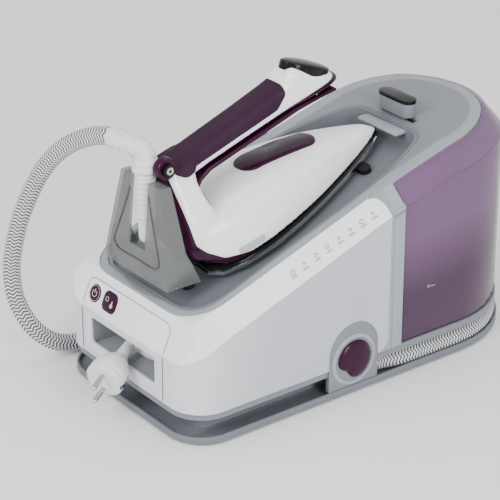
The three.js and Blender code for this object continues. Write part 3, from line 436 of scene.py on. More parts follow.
def tube(name, path, radius, material, sides=16):
    """A round tube along a path, with a map of metres along and turns around."""
    count = len(path)
    tangents = [(path[min(i + 1, count - 1)] - path[max(i - 1, 0)]).normalized() for i in range(count)]
    side = tangents[0].orthogonal().normalized()
    vertices, faces, along = [], [], [0.0]
    for i in range(1, count):
        along.append(along[-1] + (path[i] - path[i - 1]).length)
    for point, tangent in zip(path, tangents):
        side = (side - tangent * side.dot(tangent)).normalized()
        other = tangent.cross(side)
        for k in range(sides):
            angle = 2 * math.pi * k / sides
            vertices.append(point + (side * math.cos(angle) + other * math.sin(angle)) * radius)
    maps = []
    for i in range(count - 1):
        for k in range(sides):
            n = (k + 1) % sides
            faces.append((i * sides + k, i * sides + n, (i + 1) * sides + n, (i + 1) * sides + k))
            maps += [(along[i], k / sides), (along[i], (k + 1) / sides),
                     (along[i + 1], (k + 1) / sides), (along[i + 1], k / sides)]
    faces.append(tuple(range(sides))[::-1])
    faces.append(tuple((count - 1) * sides + k for k in range(sides)))
    maps += [(0, 0)] * (2 * sides)
    mesh = D.meshes.new(name)
    mesh.from_pydata([tuple(v) for v in vertices], [], faces)
    layer = mesh.uv_layers.new(name="along")
    for entry, value in zip(layer.data, maps):
        entry.uv = value
    mesh.materials.append(material)
    obj = D.objects.new(name, mesh)
    collection.objects.link(obj)
    smooth_by_angle(obj, 60)
    return obj


def lathe(name, profile, material, centre, axis=(0, 0, 1), segments=32, angle=35):
    """A turned piece: profile is [radius, height] in mm along axis from centre."""
    turn = Vector(axis).normalized().to_track_quat("Z", "X").to_matrix()
    origin = Vector(centre) * MM
    vertices, faces = [], []
    for r, h in profile:
        for k in range(segments):
            a = 2 * math.pi * k / segments
            vertices.append(origin + turn @ (Vector((r * math.cos(a), r * math.sin(a), h)) * MM))
    for i in range(len(profile) - 1):
        for k in range(segments):
            n = (k + 1) % segments
            faces.append((i * segments + k, i * segments + n, (i + 1) * segments + n, (i + 1) * segments + k))
    faces.append(tuple(range(segments))[::-1])
    faces.append(tuple((len(profile) - 1) * segments + k for k in range(segments)))
    return mesh_object(name, vertices, faces, material, angle=angle)


def loft(name, rings, material, angle=35, caps=True):
    """Skin over rings of equal count, given in metres."""
    count = len(rings[0])
    vertices = [v for ring in rings for v in ring]
    faces = []
    for i in range(len(rings) - 1):
        for k in range(count):
            n = (k + 1) % count
            faces.append((i * count + k, i * count + n, (i + 1) * count + n, (i + 1) * count + k))
    if caps:
        faces.append(tuple(range(count))[::-1])
        faces.append(tuple((len(rings) - 1) * count + k for k in range(count)))
    return mesh_object(name, vertices, faces, material, angle=angle)


# ---------------------------------------------------------------- steam hose

GLAND_X = 93.6
HOSE_LINE = 98.5
REAR_CENTRE = 110.0
CHANNEL_Z = 13.5
HOSE_DIAMETER = 0.0176

hose_points = [
    (GLAND_X, 1.9, 15.6), (GLAND_X + 0.6, 14, 15.2), (HOSE_LINE - 0.6, 36, 13.8),
    (HOSE_LINE, 60, CHANNEL_Z), (HOSE_LINE, 86, CHANNEL_Z),
]
for step in range(13):
    a = math.pi * step / 12
    hose_points.append((HOSE_LINE * math.cos(a), REAR_CENTRE + HOSE_LINE * math.sin(a), CHANNEL_Z))
hose_points += [
    (-HOSE_LINE, 84, CHANNEL_Z), (-HOSE_LINE, 56, CHANNEL_Z), (-HOSE_LINE, 28, CHANNEL_Z),
    (-98.5, 0, CHANNEL_Z), (-100, -30, CHANNEL_Z), (-104.5, -58, 13.6), (-111, -84, 13.6),
    (-117, -108, 11.6), (-121, -134, 9.7), (-122, -162, 9.6), (-123, -190, 9.8),
    (-126, -218, 17.5), (-133, -239, 38), (-144, -249, 68), (-149, -249, 97),
    (-146, -246, 126), (-140, -241, 154), (-130, -234, 183), (-117, -227, 209),
    (-99, -220, 231), (-78, -213, 247), (-55, -207, 258), (-34, -203.5, 263),
    (-18.2, -199, 261.1),
]
hose_path = spline(mm(hose_points), 10)
hose = tube("steam_hose", hose_path, HOSE_DIAMETER / 2, BRAID, 24)


def path_length(path):
    return sum((b - a).length for a, b in zip(path, path[1:]))


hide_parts("steam_hose_stored", "steam_hose_loop")
tuple(hose_path[0])
round(path_length(hose_path), 2)
[tuple(p) for p in hose_path]
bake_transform(hose)


# ---------------------------------------------------------------- mains lead and plug

LEAD_DIAMETER = 0.007
COIL = Vector((-4, -146.5, 45.3))
PLUG_CENTRE = Vector((5, -238, 48))
PLUG_AXIS = Vector((0.38, -0.86, -0.34)).normalized()


def ease(t):
    t = min(max(t, 0.0), 1.0)
    return t * t * (3 - 2 * t)


def around_coil(radius, degrees, z):
    a = math.radians(degrees)
    return (COIL.x + radius * math.cos(a), COIL.y + radius * math.sin(a), z)


def coil_points():
    """Down the coil's inside, three turns outwards on the floor, then back inwards on top."""
    low, high = 48.9, 55.95
    points = [around_coil(28, 143, 63)]
    for i in range(1, 7):
        points.append(around_coil(25.6, 143 + 25 * i, 63 - 14 * i / 6))
    for i in range(1, 4):
        points.append(around_coil(25.6 + 7.4 * ease(i / 3), 293 + 27 * i, low))
    start = 374
    per_turn = 16
    for i in range(1, 3 * per_turn + 1):
        turns = i / per_turn
        whole = min(int(turns), 2)
        radius = 33 + 7 * min(whole + (ease((turns - whole - 0.8) / 0.2) if whole < 2 else 0), 2)
        lift = ease((turns - 2.75) / 0.25)
        points.append(around_coil(radius, start + 360 * turns, low + (high - low) * lift))
    start += 1080
    turns_on_top = (150 + 360 * 6 - start) / 360
    steps = int(turns_on_top * per_turn)
    for i in range(1, steps + 1):
        turns = turns_on_top * i / steps
        whole = min(int(turns), 2)
        radius = 47 - 7 * min(whole + (ease((turns - whole - 0.8) / 0.2) if whole < 2 else 0), 2)
        points.append(around_coil(radius, start + 360 * turns, high))
    for i in range(1, 4):
        points.append(around_coil(33 + 0.4 * i / 3, 150 + 18 * i, high + 7.25 * ease(i / 3)))
    return points


def on_plug(t):
    return PLUG_CENTRE + PLUG_AXIS * t


lead_points = [
    (-30, -99, 65), (-30, -107, 64.6), (-29.6, -116, 63.9),
    *coil_points(),
    (-34.2, -160.5, 63.4), (-29.5, -170.5, 65.4), (-22.5, -180.5, 68),
    tuple(on_plug(-56)), tuple(on_plug(-48.4)),
]
lead_path = spline(mm(lead_points), 5)
lead = tube("mains_lead", lead_path, LEAD_DIAMETER / 2, WHITE_FLEX, 12)

plug_profile = [
    (2.2, -48.2), (4.1, -48), (4.4, -46.5), (4.5, -44), (3.7, -43.6), (3.7, -42.2), (4.8, -41.8),
    (4.9, -38.6), (4.0, -38.2), (4.0, -36.8), (5.1, -36.4), (5.3, -33.2), (4.4, -32.8), (4.4, -31.4),
    (5.6, -31), (6.0, -24), (6.4, -20), (7.6, -17.4), (10, -14.8), (13.2, -10.8), (16, -5.6),
    (18.0, -0.5), (18.9, 4), (19.1, 6.6), (18.8, 7.3), (18.8, 7.9), (19.1, 8.6), (18.9, 12.4),
    (18.2, 13.8), (16.4, 14.05), (15.8, 13.6), (15.4, 13.6), (4, 13.6),
]
plug = lathe("mains_plug_body", plug_profile, WHITE_FLEX, tuple(PLUG_CENTRE), PLUG_AXIS, 48)
attach(plug, "station", "white_flex", "mains_plug")

PIN_SIDE = Vector((0.31, -0.235, 0.94))
PIN_SIDE = (PIN_SIDE - PLUG_AXIS * PIN_SIDE.dot(PLUG_AXIS)).normalized()
EARTH_SIDE = PLUG_AXIS.cross(PIN_SIDE)
pins = []
for sign, label in ((1, "a"), (-1, "b")):
    foot = PLUG_CENTRE + PIN_SIDE * (9.5 * sign)
    pin = lathe("plug_pin_" + label, [(2.4, 13), (2.4, 31), (2.2, 32.2), (1.6, 33.1), (0.7, 33.4)],
                CHROME, tuple(foot), PLUG_AXIS, 20)
    sleeve = lathe("plug_pin_root_" + label, [(3.4, 13.2), (3.4, 14.4), (3.0, 14.8), (2.42, 14.8)],
                   WHITE_FLEX, tuple(foot), PLUG_AXIS, 20)
    pins += [pin, sleeve]
    attach(pin, "station", "bright_steel")
    attach(sleeve, "station", "white_flex")
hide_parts("plug_pins")

# The earth contacts: a sprung strip in a notch on each side of the plug.
for sign, label in ((1, "a"), (-1, "b")):
    centre = PLUG_CENTRE + EARTH_SIDE * (18.7 * sign)
    corners = []
    for t, out in ((-1, -0.2), (4, 1.0), (10, 1.0), (14.4, -0.6)):
        for w in (-2.6, 2.6):
            for depth in (0, -0.8):
                outward = EARTH_SIDE * (sign * (out + depth))
                corners.append((centre + PLUG_AXIS * t + PIN_SIDE * w + outward) * MM)
    strips = []
    for i in range(3):
        a = i * 4
        b = a + 4
        strips += [(a, a + 2, b + 2, b), (a + 1, b + 1, b + 3, a + 3),
                   (a, b, b + 1, a + 1), (a + 2, a + 3, b + 3, b + 2)]
    strips += [(0, 1, 3, 2), (12, 14, 15, 13)]
    contact = mesh_object("earth_contact_" + label, corners, strips, CHROME)
    attach(contact, "station", "bright_steel")
    pins.append(contact)

attach(lead, "station", "white_flex", "mains_lead_inner", "mains_lead_outer", "mains_coil")
tuple(lead_path[0])
round(path_length(lead_path), 2)
[tuple(p) for p in lead_path]


# ---------------------------------------------------------------- station skins

# Where the deck's outline starts to close in, front and rear, and its inner half width, in metres.
DECK_FRONT = -0.150
DECK_REAR = 0.108
DECK_MARGIN = (0.0735, 0.0755)


def deck_material():
    """Grey with a paler margin that follows the deck's outline."""
    material = plastic("deck_grey", (0.185, 0.20, 0.222), 0.42, 1100, 0.00004, spread=0.02, specular=0.3)
    tree = material.node_tree
    shader = tree.nodes["Principled BSDF"]
    x, y, _ = position(tree)
    ahead = calculate(tree, "MULTIPLY", past(tree, DECK_FRONT, y), 1.45)
    reach = calculate(tree, "ADD", past(tree, y, DECK_REAR), ahead)
    blend_color(tree, shader, ramp(tree, distance(tree, x, reach), 0, 1, *DECK_MARGIN), PALE_MARGIN)
    return material


DECK = deck_material()

smooth_by_angle(soften("main_housing", PEARL_WITH_PAINTED_HIGHLIGHT, 2.0, 4, 14), 42)
smooth_by_angle(soften("control_panel", PEARL_WITH_PAINTED_HIGHLIGHT, 0.5, 2, 14), 42)
soften("base_tray", DARK_GREY, 0.7, 2)
soften("plinth", GREY, 0.6, 2)
soften("top_deck", DECK, 1.0, 3)
soften("iron_rest", PAN, 1.2, 3)
rear_skin = soften("rear_housing", PALE_GREY, 0.8, 2)
soften("knob_panel", GREY, 0.9, 3)
soften("lock_slider", GREY, 0.9, 3)
soften("lock_cap", BLACK, 1.4, 4)
soften("lock_tongue", PALE_GREY, 0.6, 2)
soften("power_button", DEEP_PURPLE, 0.9, 3)
soften("mode_button", DEEP_PURPLE, 0.9, 3)
soften("water_tank", TANK, 0.7, 2)
soften("tank_cover", TANK_TOP, 0.7, 2, 20)
dress("cord_compartment", LINER)
dress("hose_gland", GREY)
for name in ("foot_front_right", "foot_front_left", "foot_rear_right", "foot_rear_left"):
    dress(name, RUBBER)
for name in ("front_rest_pads", "rear_rest_pads"):
    soften(name, RUBBER, 0.6, 2)
for name in ("boiler", "boiler_brackets", "boiler_heater", "steam_pipe"):
    dress(name, STEEL)
for name in ("drain_pipe", "steam_valve"):
    dress(name, BRASS)
for name in ("pump", "water_pipe", "control_board", "cord_gland", "tank_valve"):
    dress(name, INNER)

# The crest of the station seen from its side: y and height. Its side faces stand at SIDE_FACE.
CREST = [(-240, 105), (0, 189), (60, 206), (102, 218.5), (136, 224.5)]
SIDE_FACE = 109.0


def crest_at(y):
    """Height of the station's crest, in millimetres, at y."""
    for (y0, z0), (y1, z1) in zip(CREST, CREST[1:]):
        if y <= y1:
            return z0 + (z1 - z0) * (y - y0) / (y1 - y0)
    return CREST[-1][1]


STRIP_REAR = 0.0312


def lean_cut(obj):
    """Takes off what stands above the line on which both sides lean back."""
    for side in (1, -1):
        bm = bmesh.new()
        bm.from_mesh(obj.data)
        low, low_behind = (Vector((109.2 * side, y, crest_at(y) - 19)) for y in (18, 31))
        high = Vector((88 * side, 18, crest_at(18)))
        normal = (low_behind - low).cross(high - low).normalized()
        if normal.z < 0:
            normal.negate()
        bmesh.ops.bisect_plane(bm, geom=[*bm.verts, *bm.edges, *bm.faces],
                               plane_co=(0, STRIP_REAR, 0), plane_no=(0, 1, 0))
        strip = [f for f in bm.faces if all(v.co.y < STRIP_REAR + 0.0001 for v in f.verts)]
        edges = {e for f in strip for e in f.edges}
        verts = {v for f in strip for v in f.verts}
        bmesh.ops.bisect_plane(bm, geom=[*verts, *edges, *strip], plane_co=low * MM, plane_no=normal,
                               clear_outer=True)
        bmesh.ops.holes_fill(bm, edges=[e for e in bm.edges if e.is_boundary])
        bm.to_mesh(obj.data)
        bm.free()


def strip_cap(side):
    """Closes the top of the upright strip between the side panel and the tank."""
    rings = []
    for y in (18.25, 30.6):
        top = crest_at(y)
        ring = [(SIDE_FACE, top - 23), (SIDE_FACE, top - 19), (88.2, top - 0.2), (84, top - 0.2),
                (84, top - 5), (99, top - 17)]
        rings.append([Vector((side * x, y, z)) * MM for x, z in ring])
    made = loft("strip_cap_" + ("right" if side > 0 else "left"), rings, PALE_GREY, 30)
    attach(made, "station", "grey_plastic")


lean_cut(rear_skin)
KNOB_Y, KNOB_Z = -29.5, 37.0
for side in (1, -1):
    strip_cap(side)
bezel_profile = [(22.4, -2.0), (22.4, 0.4), (22.9, 0.95), (25.6, 0.95), (26.4, 0.5), (26.5, -0.2)]
bezel = lathe("knob_bezel", bezel_profile, PALE_GREY, (SIDE_FACE, KNOB_Y, KNOB_Z), (1, 0, 0), 64)
attach(bezel, "station", "grey_plastic")


def swell(angle, degrees, width):
    """A smooth swelling round a rim: one at the given angle, falling to zero either side."""
    away = (angle - math.radians(degrees) + math.pi) % (2 * math.pi) - math.pi
    return math.exp(-(away / width) ** 2)


def knob_rings():
    """A lobed grip: nearly round, with one scoop in its rim and a ridge across its face."""
    rings = []
    for share, out in ((0.97, 103.4), (1.0, 106.5), (0.985, 109.4), (0.93, 111.2), (0.78, 112.4),
                       (0.5, 112.9), (0.12, 113.1)):
        ring = []
        for k in range(72):
            a = 2 * math.pi * k / 72
            scoop = swell(a, 228, 0.55)
            lobe = swell(a, 292, 0.36)
            radius = (20.8 - 6.4 * scoop + 0.4 * lobe) * share
            ridge = max(0.0, math.cos(a - math.radians(60))) * 1.6 * share * (1 - share * 0.9)
            y, z = KNOB_Y + radius * math.cos(a), KNOB_Z + radius * math.sin(a)
            ring.append(Vector((out + ridge, y, z)) * MM)
        rings.append(ring)
    return rings


knob = loft("knob_grip", knob_rings(), DEEP_PURPLE, 40)
attach(knob, "knob", "purple_gloss", "drain_knob")
well = lathe("knob_well", [(21.4, -4.0), (22.3, 0.6)], GREY, (SIDE_FACE, KNOB_Y, KNOB_Z), (1, 0, 0), 48)
attach(well, "station", "grey_plastic")


# ---------------------------------------------------------------- small marks

LEAN = math.atan2(16, 36.45)
LEAN_UP = Vector((0, math.sin(LEAN), math.cos(LEAN)))
LEAN_OUT = Vector((0, -math.cos(LEAN), math.sin(LEAN)))


def on_lean(x, up, out):
    return (Vector((x, -219, 81.5)) + LEAN_UP * up + LEAN_OUT * out) * MM


def ring_path(centre, radius, place, start=0, end=360, steps=20):
    points = []
    for i in range(steps + 1):
        a = math.radians(start + (end - start) * i / steps)
        points.append(place(centre[0] + radius * math.cos(a), centre[1] + radius * math.sin(a)))
    return points


def join(name, objects):
    """One object from several; they share the first one's material."""
    vertices, faces, base = [], [], 0
    for obj in objects:
        vertices += [v.co.copy() for v in obj.data.vertices]
        faces += [tuple(base + i for i in p.vertices) for p in obj.data.polygons]
        base = len(vertices)
    material = objects[0].data.materials[0]
    for obj in objects:
        D.objects.remove(obj)
    mesh = D.meshes.new(name)
    mesh.from_pydata([tuple(v) for v in vertices], [], faces)
    mesh.materials.append(material)
    made = D.objects.new(name, mesh)
    collection.objects.link(made)
    return made


def button_face(x, up):
    return on_lean(x, up, 0.85)


power_mark = join("power_mark", [
    tube("a", ring_path((-57.3, 16.4), 3.4, button_face, 125, 415), 0.22 * MM, ICON, 6),
    tube("b", [button_face(-57.3, 16.8), button_face(-57.3, 20.9)], 0.22 * MM, ICON, 6),
    tube("c", ring_path((-57.3, 16.4), 7.4, button_face, 0, 360), 0.12 * MM, ICON, 6),
])
attach(power_mark, "power", "purple_gloss")
mode_mark = join("mode_mark", [
    tube("a", ring_path((-36.6, 18.4), 2.1, button_face), 0.2 * MM, ICON, 6),
    tube("b", ring_path((-28.4, 13.8), 1.5, button_face, 0, 360), 0.55 * MM, ICON, 6),
    tube("c", [button_face(-28.4, 14.4), button_face(-28.4, 18.6)], 0.45 * MM, ICON, 6),
])
attach(mode_mark, "mode", "purple_gloss")


def side_marks():
    """Eight small generic marks in a row on the right side's leaning band."""
    made = []

    def place(along, up):
        y = -97 + along
        base = Vector((SIDE_FACE, y, 170 + 0.35 * y))
        lean = Vector((-21, 0, 19)).normalized()
        out = Vector((19, 0, 21)).normalized()
        return (base + lean * (11.5 + up) + out * 0.12) * MM

    for i in range(8):
        centre = 13.6 * i
        radius = 1.7 if i % 2 else 2.0
        corners = (28, 3, 4)[i % 3]
        path = ring_path((centre, 2.2), radius, place, 90, 450, corners)
        made.append(tube("m", path, 0.3 * MM, ICON_GREY, 5))
        for row, half in ((-1.6, 2.6), (-3.0, 3.2)):
            line = [place(centre - half, row), place(centre + half, row)]
            made.append(tube("m", line, 0.26 * MM, ICON_GREY, 5))
    return join("side_marks", made)


attach(side_marks(), "station", "grey_plastic")


def panel_seam():
    """The parting line round the front panel."""
    reach = 27.5 / math.cos(LEAN)
    path = [Vector((-71, -219.35, z)) * MM for z in (36, 60, 79)] + [on_lean(-71, 4, 0.05)]
    for i in range(9):
        a = math.radians(180 - 90 * i / 8)
        path.append(on_lean(-62 + 9 * math.cos(a), reach - 9 + 9 * math.sin(a), 0.05))
    for i in range(9):
        a = math.radians(90 - 90 * i / 8)
        path.append(on_lean(53 + 9 * math.cos(a), reach - 9 + 9 * math.sin(a), 0.05))
    path += [on_lean(62, 4, 0.05)] + [Vector((62, -219.35, z)) * MM for z in (79, 60, 36)]
    return tube("panel_seam", path, 0.28 * MM, SEAM, 6)


attach(panel_seam(), "station", "grey_plastic")

level = join("level_mark", [
    tube("a", mm([(106.2, 64, 84), (106.2, 74, 84)]), 0.2 * MM, ICON, 6),
    tube("b", mm([(106.2, 64, 86), (106.2, 67.5, 86)]), 0.16 * MM, ICON, 6),
])
attach(level, "tank", "clear_purple")


# ---------------------------------------------------------------- iron

TILT = math.radians(16.5)
TIP = Vector((0, 89, 203))
IRON_TURN = Matrix.Rotation(TILT, 3, "X")


def iron_point(x, y, z):
    return (TIP + IRON_TURN @ Vector((x, y, z))) * MM


def iron_place(x, y, z):
    """A point of the iron's own frame, in the station's millimetres."""
    return tuple(iron_point(x, y, z) / MM)


def table_at(table, at, column):
    """Smooth reading of a table of rows that start with their position."""
    if at <= table[0][0]:
        return table[0][column]
    for i in range(len(table) - 1):
        a, b = table[i], table[i + 1]
        if at <= b[0]:
            before = table[max(i - 1, 0)]
            after = table[min(i + 2, len(table) - 1)]
            t = (at - a[0]) / (b[0] - a[0])
            span = b[0] - a[0]
            m0 = (b[column] - before[column]) / max(b[0] - before[0], 1e-6) * span
            m1 = (after[column] - a[column]) / max(after[0] - a[0], 1e-6) * span
            return ((2 * t ** 3 - 3 * t ** 2 + 1) * a[column] + (t ** 3 - 2 * t ** 2 + t) * m0
                    + (-2 * t ** 3 + 3 * t ** 2) * b[column] + (t ** 3 - t ** 2) * m1)
    return table[-1][column]


# [distance back from the tip, half width, top height]
BODY = [(4, 3.0, 11.3), (8, 6.0, 15), (16, 11, 21), (37, 20.5, 30), (72, 33, 43), (110, 44.5, 52),
        (146, 52, 58), (185, 57, 60), (213, 56, 60), (236, 51, 60), (252, 45.5, 60), (260, 41.5, 57)]
BODY_BASE = 10.3


def body_ring(back, count=44):
    """Side wall up to a soft ridge, then a gently crowned top; the base rises at the heel."""
    half = table_at(BODY, back, 1)
    base = BODY_BASE + max(0.0, back - 230) * 0.62
    top = table_at(BODY, back, 2)
    rise = top - BODY_BASE
    corner = min(1.0, max(0.0, (back - 20) / 60))
    side = [(half, base), (half * (1 - 0.035 * corner), BODY_BASE + rise * 0.30),
            (half * (0.90 - 0.04 * corner), BODY_BASE + rise * (0.66 + 0.08 * corner)),
            (half * 0.46, BODY_BASE + rise * 0.925), (0, top)]
    side = [Vector((x, 0, max(z, base))) for x, z in side]
    lengths = [0.0]
    for p, q in zip(side, side[1:]):
        lengths.append(lengths[-1] + (q - p).length)
    ring = []
    for k in range(count // 2):
        at = lengths[-1] * k / (count // 2 - 0.5)
        for p, q, l0, l1 in zip(side, side[1:], lengths, lengths[1:]):
            if at <= l1:
                point = p.lerp(q, (at - l0) / max(l1 - l0, 1e-9))
                break
        ring.append((point.x, point.z))
    both = ring + [(-x, z) for x, z in reversed(ring)]
    return [iron_point(x, -back, z) for x, z in both]


def rounded_ring(place, a0, a1, b0, b1, r, per_corner=6):
    """Points round a rounded rectangle; place turns (a, b) into a point."""
    ring = []
    corners = ((a1 - r, b0 + r, -90), (a1 - r, b1 - r, 0), (a0 + r, b1 - r, 90), (a0 + r, b0 + r, 180))
    for ca, cb, start in corners:
        for i in range(per_corner):
            angle = math.radians(start + 90 * i / (per_corner - 1))
            ring.append(place(ca + r * math.cos(angle), cb + r * math.sin(angle)))
    return ring


def cap_top(y):
    """Height of the handle's head under the oval cap, at y."""
    return 118.3 - 1.8 - 0.7255 * (y + 65.5)


def iron_shell():
    """Body, heel column, grip bar and head, fused and blended into one moulded shell."""
    stations = [4, 5.5, 8, 12] + [16 + 9 * i for i in range(26)] + [250, 256, 259.5]
    body = loft("body", [body_ring(b) for b in stations], WHITE)
    column = loft("column", [
        rounded_ring(lambda x, y, z=z: iron_point(x, y, z), -half, half, rear, front, radius)
        for z, half, rear, front, radius in (
            (30, 42, -258.5, -214, 8), (42, 43.5, -258, -217, 9), (60, 40, -256, -220, 10),
            (74, 34, -254.5, -221.5, 10), (86, 28, -253, -221.5, 10), (95, 24, -251.5, -219, 9),
            (104, 20, -249, -212, 9), (108, 17, -245, -206, 8))
    ], WHITE)
    bar = []
    for y, low, high, half in (
            (-244, 86, 106, 15), (-228, 87, 109.5, 15.6), (-200, 89.5, 112, 15.8),
            (-150, 91.2, 115.5, 15.8), (-110, 91.8, 119, 15.8), (-101, 91.8, 120.3, 15.9),
            (-95, 91.6, 123.6, 16), (-89.5, 91.3, 129, 16.2), (-85, 91, cap_top(-85) - 0.5, 16.3),
            (-78, 90.6, cap_top(-78), 16.5), (-66, 90, cap_top(-66), 16.5), (-54, 89, cap_top(-54), 15.6),
            (-46, 88.6, cap_top(-46), 13.4), (-40, 88.4, cap_top(-40), 10.0),
            (-36, 88.8, cap_top(-36) - 0.6, 5.5)):
        radius = min(8.2, half - 0.5)
        bar.append(rounded_ring(lambda x, z, y=y: iron_point(x, y, z), -half, half, low, high, radius))
    grip = loft("bar", bar, WHITE)
    shell = join("iron_shell", [body, column, grip])
    remesh = shell.modifiers.new("remesh", "REMESH")
    remesh.mode = "VOXEL"
    remesh.voxel_size = 0.0014
    smooth = shell.modifiers.new("smooth", "SMOOTH")
    smooth.factor = 0.5
    smooth.iterations = 8
    bake(shell)
    fewer = shell.modifiers.new("fewer", "DECIMATE")
    fewer.ratio = 0.35
    bake(shell)
    smooth_by_angle(shell, 60)
    shell.data.materials.clear()
    shell.data.materials.append(WHITE)
    return shell


def shell_skin(name, shell, outline_yz, offset, material, half=80):
    """A thin piece that follows the shell, within an outline drawn on the iron's side view."""
    mesh = shell.data.copy()
    skin = D.objects.new(name, mesh)
    collection.objects.link(skin)
    for vertex, normal in [(v, v.normal.copy()) for v in mesh.vertices]:
        vertex.co += normal * offset * MM
    rings = [[iron_point(x, y, z) for y, z in outline_yz] for x in (-half, half)]
    cutter = loft(name + "_cutter", rings, material)
    trim = skin.modifiers.new("trim", "BOOLEAN")
    trim.operation = "INTERSECT"
    trim.solver = "EXACT"
    trim.object = cutter
    bake(skin)
    D.objects.remove(cutter)
    skin.data.materials.clear()
    skin.data.materials.append(material)
    smooth_by_angle(skin, 40)
    return skin


def round_corners(points, radii, steps=7):
    """An outline with its corners rounded."""
    out = []
    count = len(points)
    for i, radius in enumerate(radii):
        p0, p, p1 = (Vector(points[j % count]) for j in (i - 1, i, i + 1))
        a, b = (p0 - p).normalized(), (p1 - p).normalized()
        if radius <= 0:
            out.append(tuple(p))
            continue
        angle = a.angle(b)
        back_off = min(radius / math.tan(angle / 2), (p0 - p).length * 0.49, (p1 - p).length * 0.49)
        start, end = p + a * back_off, p + b * back_off
        for k in range(steps):
            t = k / (steps - 1)
            out.append(tuple((1 - t) ** 2 * start + 2 * t * (1 - t) * p + t ** 2 * end))
    return out


def rounded_outline(a0, a1, b0, b1, r, per_corner=8):
    return [tuple(p) for p in rounded_ring(lambda a, b: (a, b), a0, a1, b0, b1, r, per_corner)]


shell = iron_shell()
attach(shell, "iron", "white_gloss", "iron_body", "handle_shell")
grip_outline = round_corners(
    [(-240, 104), (-232, 97.2), (-206, 98.4), (-116, 102), (-103, 112), (-100, 140), (-240, 140)],
    [3, 9, 0, 9, 8, 0, 0])
grip_skin = shell_skin("grip_skin", shell, grip_outline, 0.9, SOFT_PURPLE, 40)
attach(grip_skin, "iron", "soft_grip", "handle_grip")
under_outline = round_corners(
    [(-222.3, 58), (-222.3, 76), (-206, 92.0), (-110, 95.8), (-70, 97.5), (-30, 97.8), (-30, 70),
     (-150, 75), (-205, 75), (-215, 58)],
    [0, 12, 14, 0, 0, 0, 0, 0, 0, 0])
under_skin = shell_skin("underside_skin", shell, under_outline, 0.6, DEEP_PURPLE, 30)
attach(under_skin, "iron", "purple_gloss")
heel_outline = round_corners(
    [(-246.5, 112), (-248.5, 96), (-252.0, 60), (-253.2, 41), (-246, 30), (-232, 17.5), (-205, 11.4),
     (-205, 2), (-290, 2), (-290, 112)],
    [0, 0, 0, 8, 0, 12, 0, 0, 0, 0])
heel_skin = shell_skin("heel_band", shell, heel_outline, 0.8, DEEP_PURPLE)
attach(heel_skin, "iron", "purple_gloss", "heel_frame")
PIVOT_Y, PIVOT_Z = -247.5, 115
for side in (1, -1):
    boss = lathe("pivot_boss_" + ("right" if side > 0 else "left"),
                 [(1, -4.5), (10, -4.5), (10.8, -3.6), (11, 2.6), (10.2, 4), (7.2, 4.3), (1, 4.3)],
                 DEEP_PURPLE, iron_place(17 * side, PIVOT_Y, PIVOT_Z), (side, 0, 0), 40)
    attach(boss, "iron", "purple_gloss")
soften("body_pad", DEEP_PURPLE, 0.5, 2)
soften("heel_cover", SMOKE, 1.6, 3)
soften("handle_underside", DEEP_PURPLE, 2.0, 4)


CAP_CENTRE = Vector((0, -66.5, 118.0))
CAP_TURN = Matrix.Rotation(-math.atan2(131 - 94, 90 - 39), 3, "X")
CAP_MIDDLE, CAP_HALF_LENGTH, CAP_HALF_WIDTH = 1.75, 28.7, 15.9


def cap_part(name, near, far, material):
    """Part of the domed oval cap: its half widths come from an oval, its height from a dome."""
    rings = []
    for i in range(17):
        y = near + (far - near) * i / 16
        oval = 1 - ((y - CAP_MIDDLE) / CAP_HALF_LENGTH) ** 2
        across = CAP_HALF_WIDTH * math.sqrt(max(0.0004, oval))
        ring = []
        for k in range(25):
            a = math.pi * k / 24
            x = across * math.cos(a)
            dome = 1.6 + 4.2 * math.sqrt(max(0.0, oval)) * math.sin(a) ** 0.8
            ring.append(Vector((x, y, dome)))
        ring = [Vector((across, y, -5.5))] + ring + [Vector((-across, y, -5.5))]
        rings.append([iron_point(*(CAP_CENTRE + CAP_TURN @ p)) for p in ring])
    return loft(name, rings, material, 45)


display = cap_part("cap_display", -26.9, -4.1, BLACK)
attach(display, "iron", "black_gloss", "head_display")
key = cap_part("cap_button", -3.7, 30.4, BLACK)
attach(key, "headkey", "black_gloss", "head_button")
soften("steam_trigger", DEEP_PURPLE, 1.5, 3)
window_outline = rounded_outline(-218, -188, 13.4, 20.4, 3.4)
attach(shell_skin("window_skin", shell, window_outline, 0.35, WINDOW), "iron", "clear_smoke", "light_window")
soften("heat_shield", BLACK, 0.8, 2)
soften("soleplate", CHROME, 0.8, 2)
dress("steam_chamber", CAST)

BOOT_Y = -191.0
boot_profile = [(2.0, 167), (5.0, 167.6), (6.6, 169.5), (7.2, 173), (7.5, 189)]
for i in range(9):
    z = 192 + 5 * i
    boot_profile += [(8.0, z - 0.3), (9.4, z + 0.5), (9.7, z + 1.4),
                     (9.7, z + 2.6), (9.4, z + 3.4), (8.2, z + 4.0)]
boot_profile += [(8.4, 237.2), (2, 237.2)]
boot = lathe("boot_ribs", boot_profile, WHITE_FLEX, (0, BOOT_Y, 0), (0, 0, 1), 40, 50)
attach(boot, "iron", "white_flex", "hose_boot")
collar_profile = [(3, 237.5), (11.2, 237.5), (12.1, 238.4), (12.3, 240), (12.3, 243.4), (11.9, 243.9),
                  (11.9, 244.5), (12.3, 245), (12.2, 248.6), (11.4, 250.4), (10, 251), (3, 251)]
collar = lathe("boot_collar_skin", collar_profile, WHITE_FLEX, (0, BOOT_Y, 0), (0, 0, 1), 40, 50)
attach(collar, "iron", "white_flex", "boot_collar")

